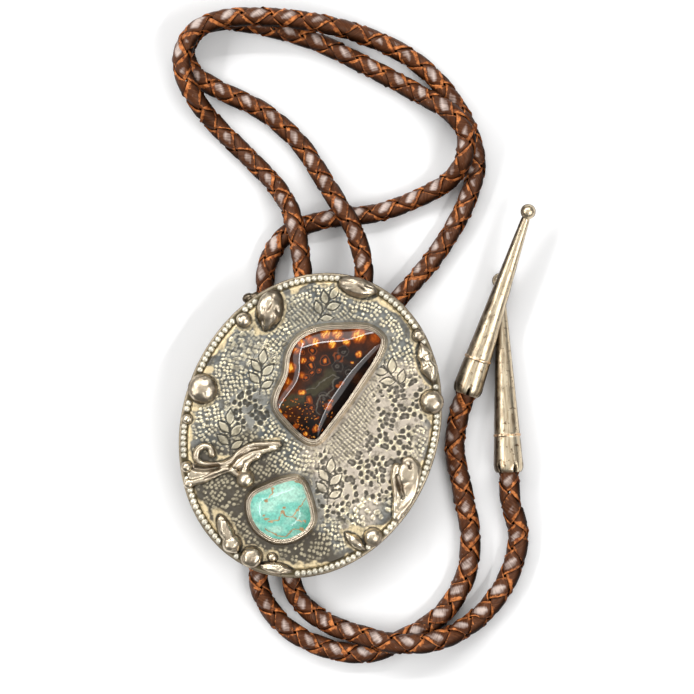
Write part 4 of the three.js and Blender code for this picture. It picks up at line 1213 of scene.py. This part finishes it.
FOLD_RODS = [
    (1.1, 0.9, [(-3.4, 5.8), (-2.1, 7.5), (-0.1, 7), (1.6, 4), (2.4, 0.2), (2.2, -3.9), (1, -7.2),
                (0.3, -9.4)]),
    (1.2, 0.7, [(-4.9, 5.6), (-4.2, 1.7), (-2.3, -2.1), (-1.1, -6.4), (-0.3, -8.8)]),
]
FOLD_LUMPS = [(-0.6, 4, 4.2, 3.4, 1.35, 85), (0.4, -2.6, 6.6, 2.3, 1.5, 80), (0.2, -9.2, 1.5, 1.7, 1.3, 0)]
FOLD_HOLLOWS = [
    ([(409.3, 464.5), (409.6, 466.5)], 1.0), ([(396.5, 476), (398, 484), (401, 491), (402.5, 496)], 1.2),
]
FINDING_LUMPS = [
    (-0.9, -0.5, 1.7, 1.3, 1.2, 50), (1.2, 0.7, 1.6, 1.25, 1.2, 30), (0.6, -1.2, 2.2, 1.1, 0.8, 45),
]
# Each casting's place, rods, lumps, hollows, the size of the net of its skin, and how far below the face
# it lies.
CASTINGS = [
    ("cast_twig", on_plate(-130, 8), TWIG_RODS, TWIG_LUMPS, TWIG_HOLLOWS, 0.22, 0.0),
    ("cast_fold", on_plate(100, 4.5), FOLD_RODS, FOLD_LUMPS, FOLD_HOLLOWS, 0.22, 0.0),
    ("finding_end", seen(251.5, 297.5), [], FINDING_LUMPS, [], 0.18, 2.4),
]
HOLLOW_DEPTH = 0.55


def rod_points(radius, thin_end, line, place, sides=16):
    """A rod of changing thickness that lies on the field, with rounded ends."""
    dense = catmull_rom(np.array([(place[0] + x, place[1] + y, 0.0) for x, y in line]), 14)
    share = np.linspace(0, 1, len(dense))
    run = run_along(dense)
    thin = np.where(share < 0.5, 1, 1 + (thin_end - 1) * (share - 0.5) * 2)
    from_end = np.minimum(run, run[-1] - run)
    dome = np.sqrt(np.clip(1 - (1 - np.clip(from_end / radius, 0, 1)) ** 2, 0.02, 1))
    reach = radius * thin * dome * (1 + 0.13 * lattice_noise(dense, 3.1, 33))
    ahead = unit_rows(np.gradient(dense, axis=0))
    beside = in_space(-ahead[:, 1], ahead[:, 0])
    k = np.linspace(0, 2 * math.pi, sides, endpoint=False)[None, :, None]
    spot = dense[:, None] + reach[:, None, None] * (np.cos(k) * beside[:, None] + np.sin(k) * [0, 0, 1])
    spot[..., 2] += FACE + radius * 0.45
    return spot.reshape(-1, 3), tube_faces(len(dense), sides)


def lump_points(row, place, sunk, unit):
    """A ball pressed to three half sizes, turned and set into the field."""
    x, y, rx, ry, rz, turn = row
    lump = unit * (1 + 0.05 * lattice_noise(unit + x, 0.8, 35))[:, None] * [rx, ry, rz]
    lump = turned(lump, turn, [place[0] + x, place[1] + y])
    lump[:, 2] += FACE + rz * 0.3 - sunk
    return lump


def cast(name, place, rods, lumps, hollows, voxel, sunk):
    """Rods and lumps made into one skin, as cast metal, smoothed a little and hollowed."""
    unit, unit_faces = ball_mesh(24, 14)
    parts = [rod_points(*row, place) for row in rods]
    parts += [(lump_points(row, place, sunk, unit), unit_faces) for row in lumps]
    points, faces = several(parts)
    draft = bpy.data.meshes.new(name + "_draft")
    draft.from_pydata((points * MM).tolist(), [], faces)
    helper = bpy.data.objects.new(name + "_draft", draft)
    bpy.context.scene.collection.objects.link(helper)
    remesh = helper.modifiers.new("remesh", "REMESH")
    remesh.mode = "VOXEL"
    remesh.voxel_size = voxel * MM
    smooth = helper.modifiers.new("smooth", "SMOOTH")
    smooth.factor = 0.5
    smooth.iterations = 3
    bpy.context.view_layer.update()
    made = helper.evaluated_get(bpy.context.evaluated_depsgraph_get()).to_mesh()
    spots = np.empty(len(made.vertices) * 3)
    made.vertices.foreach_get("co", spots)
    skin = [list(face.vertices) for face in made.polygons]
    bpy.data.objects.remove(helper)
    spots = spots.reshape(-1, 3) / MM
    # Painted shade: the skin is darker low down, where it meets the field, and in its hollows.
    low = step_down(spots[:, 2] - FACE + 0.2 * rough_noise(spots, 1.2, 39), 0.25, 1.0)
    rough = spots + 0.06 * np.stack([rough_noise(spots, 1.5, 36 + k) for k in range(3)], 1)
    for line, width in hollows:
        near = step_down(line_distance(spots[:, 0], spots[:, 1], line), 0.0, width) * (spots[:, 2] > FACE)
        rough[:, 2] -= HOLLOW_DEPTH * near * width
        low = np.maximum(low, near)
    slide_piece(name, melted, rough, skin, {"low": low})


def nugget_material():
    """Melted silver, dark in its creases, with painted shade on its lower parts towards the field and in its
    hollows.
    """
    n = Nodes("melted_silver")
    cloud = n.noise(330, detail=6, rough=0.6)
    colour = n.blend(cloud, 0.3, 0.7, (0.36, 0.28, 0.2), (0.9, 0.79, 0.6))
    # Painted shade where the low value is high.
    colour = n.mix(n.times(n.attribute("low"), 0.85), colour, (0.06, 0.04, 0.024))
    crease = n.add("ShaderNodeNewGeometry").outputs["Pointiness"]
    colour = n.mix(n.ramp(crease, [(0.38, 0.9), (0.48, 0)]), colour, (0.07, 0.045, 0.03))
    normal = n.bump(n.noise(600, detail=6), 0.12, 0.7)
    rough = n.ramp(cloud, [(0.3, 0.42), (0.7, 0.24)])
    return n.set(Base_Color=colour, Metallic=1.0, Roughness=rough, Normal=normal)


def stone_material(name, rough, glow):
    """Polished stone with colours carried by its points, a fine inner grain, a clear surface and a painted
    glow set by its heat.
    """
    n = Nodes(name)
    grain = n.ramp(n.noise(1400, detail=4), [(0.3, 0.72), (0.7, 1.15)])
    colour = n.mix(1.0, n.attribute("tint", "Color"), grain, blend="MULTIPLY")
    # Painted glow: the stone gives off light in its own colour where its heat is high.
    glowing = n.times(n.attribute("heat"), glow)
    normal = n.bump(n.noise(60, detail=2), 0.1, 0.35)
    return n.set(Base_Color=colour, Emission_Color=colour, Emission_Strength=glowing, Roughness=rough,
                 Specular_IOR_Level=0.38, Normal=normal)


rim_silver = silver_material("rim_silver", (0.42, 0.35, 0.25), rough=(0.35, 0.5), painted_shade=True)
bezel_silver = silver_material("bezel_silver", (0.72, 0.62, 0.49), rough=(0.24, 0.34), dents=0.03,
                               specks=0.25)
bead_silver = silver_material("bead_silver", (0.96, 0.9, 0.74), dark=(0.6, 0.53, 0.4), rough=(0.32, 0.42),
                              metal=0.65)
melted = nugget_material()

# A tip's section from inside its socket round the mouth to the outside: radius, distance along.
TIP_MOUTH = [
    (3.2, 7.0), (3.2, 2.0), (3.22, 0.7), (3.34, 0.15), (3.62, -0.02), (3.9, 0.3), (4.12, 0.75), (4.28, 1.3),
    (4.36, 1.9), (4.38, 2.5),
]
TIP_MOUTH_INSIDE = 4
TIP_TABS = 5
# The radius at which noise and scratches are laid round a tip.
TIP_MEAN = 4
SEAM_HEIGHT = 0.22
NOTCH_DEPTH = 0.85


def tip_mesh(axis, seed, count=128):
    """A worn cone tip: tabs folded in at the mouth, a solder seam, small dents and a ball at the end."""
    tall = np.concatenate([np.linspace(3.2, 10.3, 12), np.linspace(10.5, 11.6, 9), np.linspace(12, 54, 70)])
    taper = (TIP_NECK_RADIUS - TIP_MOUTH_RADIUS) / TIP_SHAFT
    ridge = SEAM_HEIGHT * step_down(np.abs(tall - TIP_SEAM), 0.2, 0.5)
    profile = TIP_MOUTH + list(zip(TIP_MOUTH_RADIUS + taper * tall + ridge, tall))
    for angle in np.linspace(math.pi - math.asin(TIP_NECK_RADIUS / TIP_BALL_RADIUS), 0.12, 20):
        profile.append((TIP_BALL_RADIUS * math.sin(angle), TIP_SHAFT + TIP_BALL_RADIUS * math.cos(angle)))
    turn = np.linspace(0, 2 * math.pi, count, endpoint=False)[None, :]
    r, y = (np.array(column)[:, None] + 0 * turn for column in zip(*profile))
    outer = np.arange(len(profile))[:, None] >= TIP_MOUTH_INSIDE
    around = in_space(np.cos(turn) * TIP_MEAN, np.sin(turn) * TIP_MEAN, y + seed * 31)
    seam = step_down(np.abs(y - TIP_SEAM), 0.2, 0.5)
    r = r * (1 + 0.01 * rough_noise(around, 3.5, 120) + 0.035 * seam * lattice_noise(around, 0.7, 121))
    tab = 2 * math.pi / TIP_TABS
    slot = np.abs((turn / tab + 0.3 * seed) % 1 - 0.5) * tab * TIP_MEAN
    notch = step_down(slot, 0.16, 0.42 + 0.25 * step_down(y, 0.4, 2.6)) * step_down(y, 2.0, 3.0) * outer
    r = r - NOTCH_DEPTH * notch * step_down(y, 1.0, 3.2)
    start, ahead = axis
    up = (Vector((0, 0, 1)) - ahead * ahead.z).normalized()
    side = np.array(ahead.cross(up))
    flat = np.cos(turn)[..., None] * side + np.sin(turn)[..., None] * np.array(up)
    points = np.array(start) + y[..., None] * np.array(ahead) + r[..., None] * flat
    points[..., 2] = np.maximum(points[..., 2], 0.02)

    # Darkening: painted shade low on the sides, round the ball and on the side away from the light, and dirt
    # in patches.
    on_ball = y > TIP_SHAFT - 1
    facing = np.sin(turn) * np.where(on_ball, np.clip(r / TIP_BALL_RADIUS, 0, 1), 1)
    darkening = 0.3 * rough_noise(around * [1, 1, 0.35], 2.2, 122) - 0.55 * np.cos(turn) * side[0] + 0.02
    darkening = np.clip(darkening + 0.35 * step_down(facing, -0.2, 0.7), 0, 1) * ~on_ball
    darkening = np.clip(darkening + (0.8 + 0.1 * on_ball) * step_down(facing, 0.1, 0.65 + 0.12 * on_ball), 0, 1)
    # low marks the painted shade in the slots between the tabs and inside the socket.
    values = {"low": np.clip(notch * 1.3 + ~outer, 0, 1), "seam": seam, "darkening": darkening,
              "run": y, "round": turn * TIP_MEAN + 0 * y}
    return points.reshape(-1, 3), tube_faces(len(profile), count, inside_out=True), values


def tip_material():
    """Worn silver drawn along the tip, dirty in patches and with painted shade, copper showing at the solder
    seam, and painted shade in the slots and the mouth.
    """
    n = Nodes("worn_tip_silver")
    streaks = n.noise(1.0, detail=5, vector=n.drawn_out("round", "run", (2.6, 0.16)))
    colour = n.blend(streaks, 0.35, 0.65, (0.5, 0.37, 0.23), (0.92, 0.81, 0.6))
    colour = n.blend(n.noise(900, detail=5), 0.3, 0.42, (0.2, 0.12, 0.06), colour)
    # Painted shade and dirt: darkened where this value, with noise, is high.
    patches = n.plus(n.attribute("darkening"), n.swing(n.noise(500, detail=5), 0.5, 0.9))
    colour = n.mix(n.ramp(patches, [(0.22, 0), (0.66, 0.88)]), colour, (0.085, 0.055, 0.035))
    copper = n.times(n.attribute("seam"), n.ramp(n.noise(700), [(0.4, 0.2), (0.6, 0.9)]))
    colour = n.mix(copper, colour, (0.78, 0.48, 0.26))
    # Painted shade: near black in the slots between the tabs and inside the mouth.
    colour = n.mix(n.attribute("low"), colour, (0.015, 0.01, 0.006))
    normal = n.bump(streaks, 0.03, 0.5)
    normal = n.bump(n.noise(500, detail=4), 0.035, 0.5, normal)
    rough = n.ramp(n.noise(400, detail=4), [(0.3, 0.42), (0.7, 0.28)])
    return n.set(Base_Color=colour, Metallic=1.0, Roughness=rough, Normal=normal)


def slide_piece(name, material, points, faces, attributes=None, slot="slide_silver", **more):
    """A piece of the slide, from points in the plate's own frame."""
    return add_mesh(name, points, faces, material, slot, attributes, place=SLIDE_PLACE, **more)


def melted_drops():
    """All the drops as one piece's points, faces and darkness."""
    unit, faces = ball_mesh(56, 36)
    drops = [drop_points(row, number, unit) for number, row in enumerate(DROPS)]
    values = {"low": np.concatenate([low for _, low in drops])}
    return *several([(shape, faces) for shape, _ in drops]), values


slide_piece("plate_rim", rim_silver, *flange(), replaces=("slide_plate",))
slide_piece("stamped_field", field_material(), *field_mesh())
slide_piece("bead_border", bead_silver, *beads())
for stone in STONES:
    slide_piece(stone.split("_")[0] + "_bezel", bezel_silver, *bezel(stone))
slide_piece("melted_drops", melted, *melted_drops())
for casting in CASTINGS:
    cast(*casting)

for stone, paint, rough, glow, tone in (
    ("amber_stone", paint_amber, 0.05, 0.45, (1, 1, 1)),
    ("turquoise_stone", paint_turquoise, 0.12, 0.0, (0.97, 0.87, 0.84)),
):
    points, faces = stone_dome(stone)
    colours, heat = paint(points[:, 0], points[:, 1])
    piece = slide_piece(stone + "_dome", stone_material(stone + "_polished", rough, glow), points, faces,
                        {"heat": heat}, stone.split("_")[0], replaces=(stone,))
    tint = np.column_stack([colours * tone, np.ones(len(colours))]).astype(np.float32)
    piece.data.attributes.new("tint", "FLOAT_COLOR", "POINT").data.foreach_set("color", tint.ravel())

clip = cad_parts["cord_clip"]
clip.data.materials.clear()
clip.data.materials.append(silver_material("bright_silver", (0.72, 0.68, 0.6)))

worn = tip_material()
for side_name, axis, seed in (("left", left_axis, 1), ("right", right_axis, 2)):
    points, faces, values = tip_mesh(axis, seed)
    add_mesh("worn_tip_" + side_name, points, faces, worn, "tip_silver", values,
                         replaces=("tip_" + side_name,))
